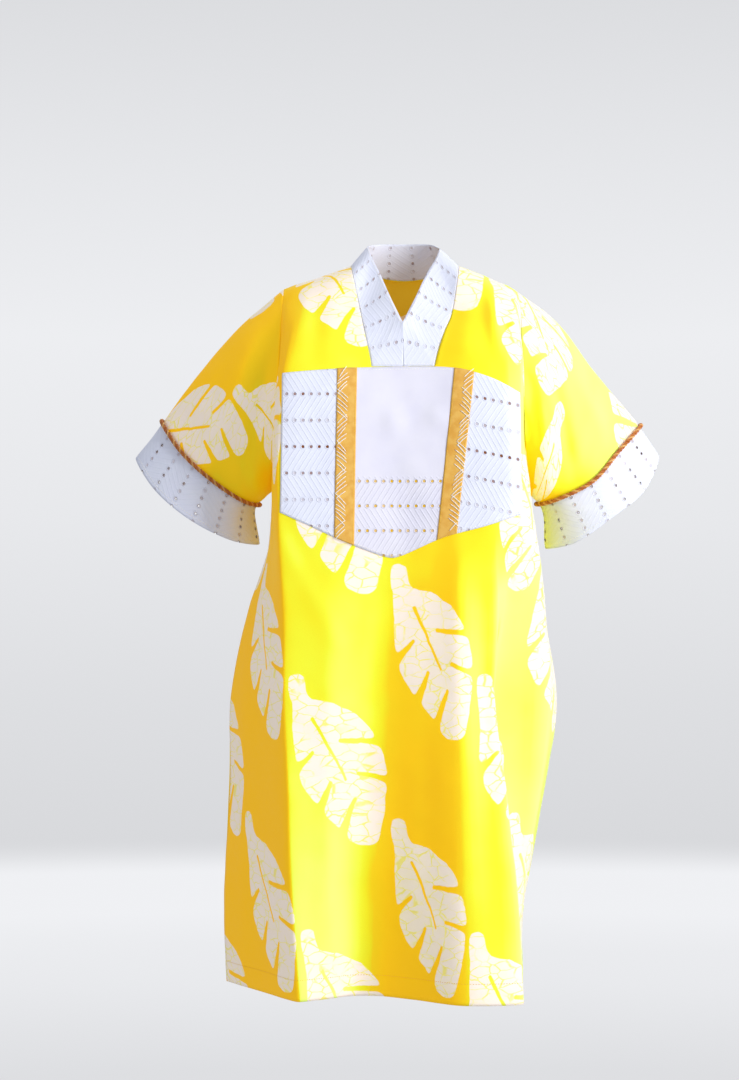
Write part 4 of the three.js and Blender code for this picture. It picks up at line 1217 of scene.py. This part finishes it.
pieces["front"] = (front, front_points, front_out)
pieces["back"] = (back, back_points, back_out)
for name, (piece, *_) in pieces.items():
    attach(piece, "root")
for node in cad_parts:
    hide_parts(node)

# name: width and length of the cut in metres, its flat area, how it is held, and what carries it
SHEETS = {
    "front": (0.74, 1.07, 0.597, "hung", ["back"]),
    "back": (0.64, 1.06, 0.544, "hung", ["front"]),
    "sleeve_right": (0.71, 0.25, 0.0774, "hung", ["front", "back"]),
    "sleeve_left": (0.70, 0.26, 0.0762, "hung", ["front", "back"]),
    "cuff_right": (0.52, 0.066, 0.0279, "hung", ["sleeve_right"]),
    "cuff_left": (0.50, 0.068, 0.0274, "hung", ["sleeve_left"]),
    "neck_band_right": (0.093, 0.242, 0.0093, "laid", ["front"]),
    "neck_band_left": (0.094, 0.244, 0.0103, "laid", ["front"]),
    "neck_band_back": (0.21, 0.052, 0.008, "laid", ["back"]),
    "bib_right": (0.095, 0.237, 0.0188, "laid", ["front"]),
    "bib_centre": (0.16, 0.262, 0.0371, "laid", ["front"]),
    "bib_left": (0.109, 0.229, 0.0182, "laid", ["front"]),
    "strip_right": (0.027, 0.242, 0.0065, "laid", ["bib_right", "bib_centre"]),
    "strip_left": (0.027, 0.235, 0.0062, "laid", ["bib_left", "bib_centre"]),
}
for name, (width, length, area, held, carriers) in SHEETS.items():
    sewn = [pieces[other][0] for other in pieces
            if other.endswith("stitches") and (other.startswith(name) or other == f"hem_{name}_stitches")]
    if name.startswith("strip"):
        sewn.append(pieces[name.replace("strip", "threads")][0])


# ---- floor, wall and light

FLOOR = -1.5
BOWL = 6.0
BEND = 0.35
WALL_TOP = 6.0
AXIS_GAP = 0.02
SPIN_STEPS = 96
# height on the wall, and distance out on the floor, in metres, with the tone there as a screen value: painted
# light and shade, brightest in a band on the wall and far out on the floor
WALL_TONES = [(-1.5, 217), (-1.3, 219), (-0.9, 224), (-0.3, 234), (0.35, 240), (0.9, 233), (1.5, 223),
              (2.5, 216)]
FLOOR_TONES = [(0.0, 214), (2.2, 221), (3.4, 233), (4.8, 243), (5.75, 243), (6.0, 222)]


def tone_at(finish, level, table):
    """The backdrop's painted light and shade at a level, between the lowest and highest place in its table.
    """
    low, high = table[0][0], table[-1][0]
    stops = [((place - low) / (high - low), srgb(tone, tone + 1, tone + 4)) for place, tone in table]
    return finish.ramp((level - low) / (high - low), stops)


def backdrop():
    """A round floor that turns up into a wall in one soft bend, spun from its section; it glows with painted
    light and shade.
    """
    finish = Finish("backdrop", Roughness=0.9, Specular_IOR_Level=0.0, Emission_Strength=0.93)
    x, y, height = finish.parts(finish.node("TexCoord").outputs["Object"])
    floor = tone_at(finish, (x * x + y * y).maths("SQRT"), FLOOR_TONES)
    wall = tone_at(finish, height, WALL_TONES)
    finish.set("Base Color", (0.06, 0.06, 0.06, 1))
    finish.set("Emission Color", finish.mix(height.step(FLOOR + 0.02, FLOOR + 0.12), floor, wall))
    section = [(AXIS_GAP, FLOOR), (2.0, FLOOR), (4.0, FLOOR), (BOWL - BEND, FLOOR)]
    for angle in np.linspace(0, math.pi / 2, 9)[1:]:
        section.append((BOWL - BEND * (1 - math.sin(angle)), FLOOR + BEND * (1 - math.cos(angle))))
    section.append((BOWL, WALL_TOP))
    bm = bmesh.new()
    line = [bm.verts.new((reach, 0, level)) for reach, level in section]
    edges = [bm.edges.new(pair) for pair in zip(line, line[1:])]
    bmesh.ops.spin(bm, geom=[*line, *edges], axis=(0, 0, 1), cent=(0, 0, 0), angle=2 * math.pi,
                   steps=SPIN_STEPS, use_merge=True)
    bmesh.ops.holes_fill(bm, edges=bm.edges, sides=SPIN_STEPS)
    bowl = make("backdrop", bm, [finish.material])
    bowl.visible_diffuse = bowl.visible_glossy = bowl.visible_shadow = False
    return bowl


def lamp(name, place, target, size, power, colour):
    data = bpy.data.lights.new(name, "AREA")
    data.shape = "RECTANGLE"
    data.size, data.size_y = size
    data.energy = power
    data.color = colour
    light = bpy.data.objects.new(name, data)
    bpy.context.collection.objects.link(light)
    light.location = place
    light.rotation_euler = (Vector(target) - Vector(place)).to_track_quat("-Z", "Y").to_euler()
    light.visible_camera = False


backdrop()
lamp("key", (1.9, -1.55, 0.1), (0, 0, -0.4), (0.7, 2.4), 62, (1.0, 0.99, 0.97))
lamp("fill", (-2.0, -3.4, 0.4), (0, 0, -0.5), (2.2, 2.6), 12, (0.96, 0.97, 1.0))
lamp("behind", (0.3, 3.4, 0.6), (0, 0, -0.4), (2.6, 2.6), 34, (1, 1, 1))
lamp("top", (0.3, 0.2, 2.6), (0, 0, -0.4), (2.2, 2.2), 14, (1, 1, 1))
world = bpy.data.worlds.new("studio")
bpy.context.scene.world = world
world.use_nodes = True
world.node_tree.nodes["Background"].inputs["Color"].default_value = (0.86, 0.88, 0.92, 1)
world.node_tree.nodes["Background"].inputs["Strength"].default_value = 0.6
bpy.context.scene.view_settings.view_transform = "Standard"

bpy.context.view_layer.update()
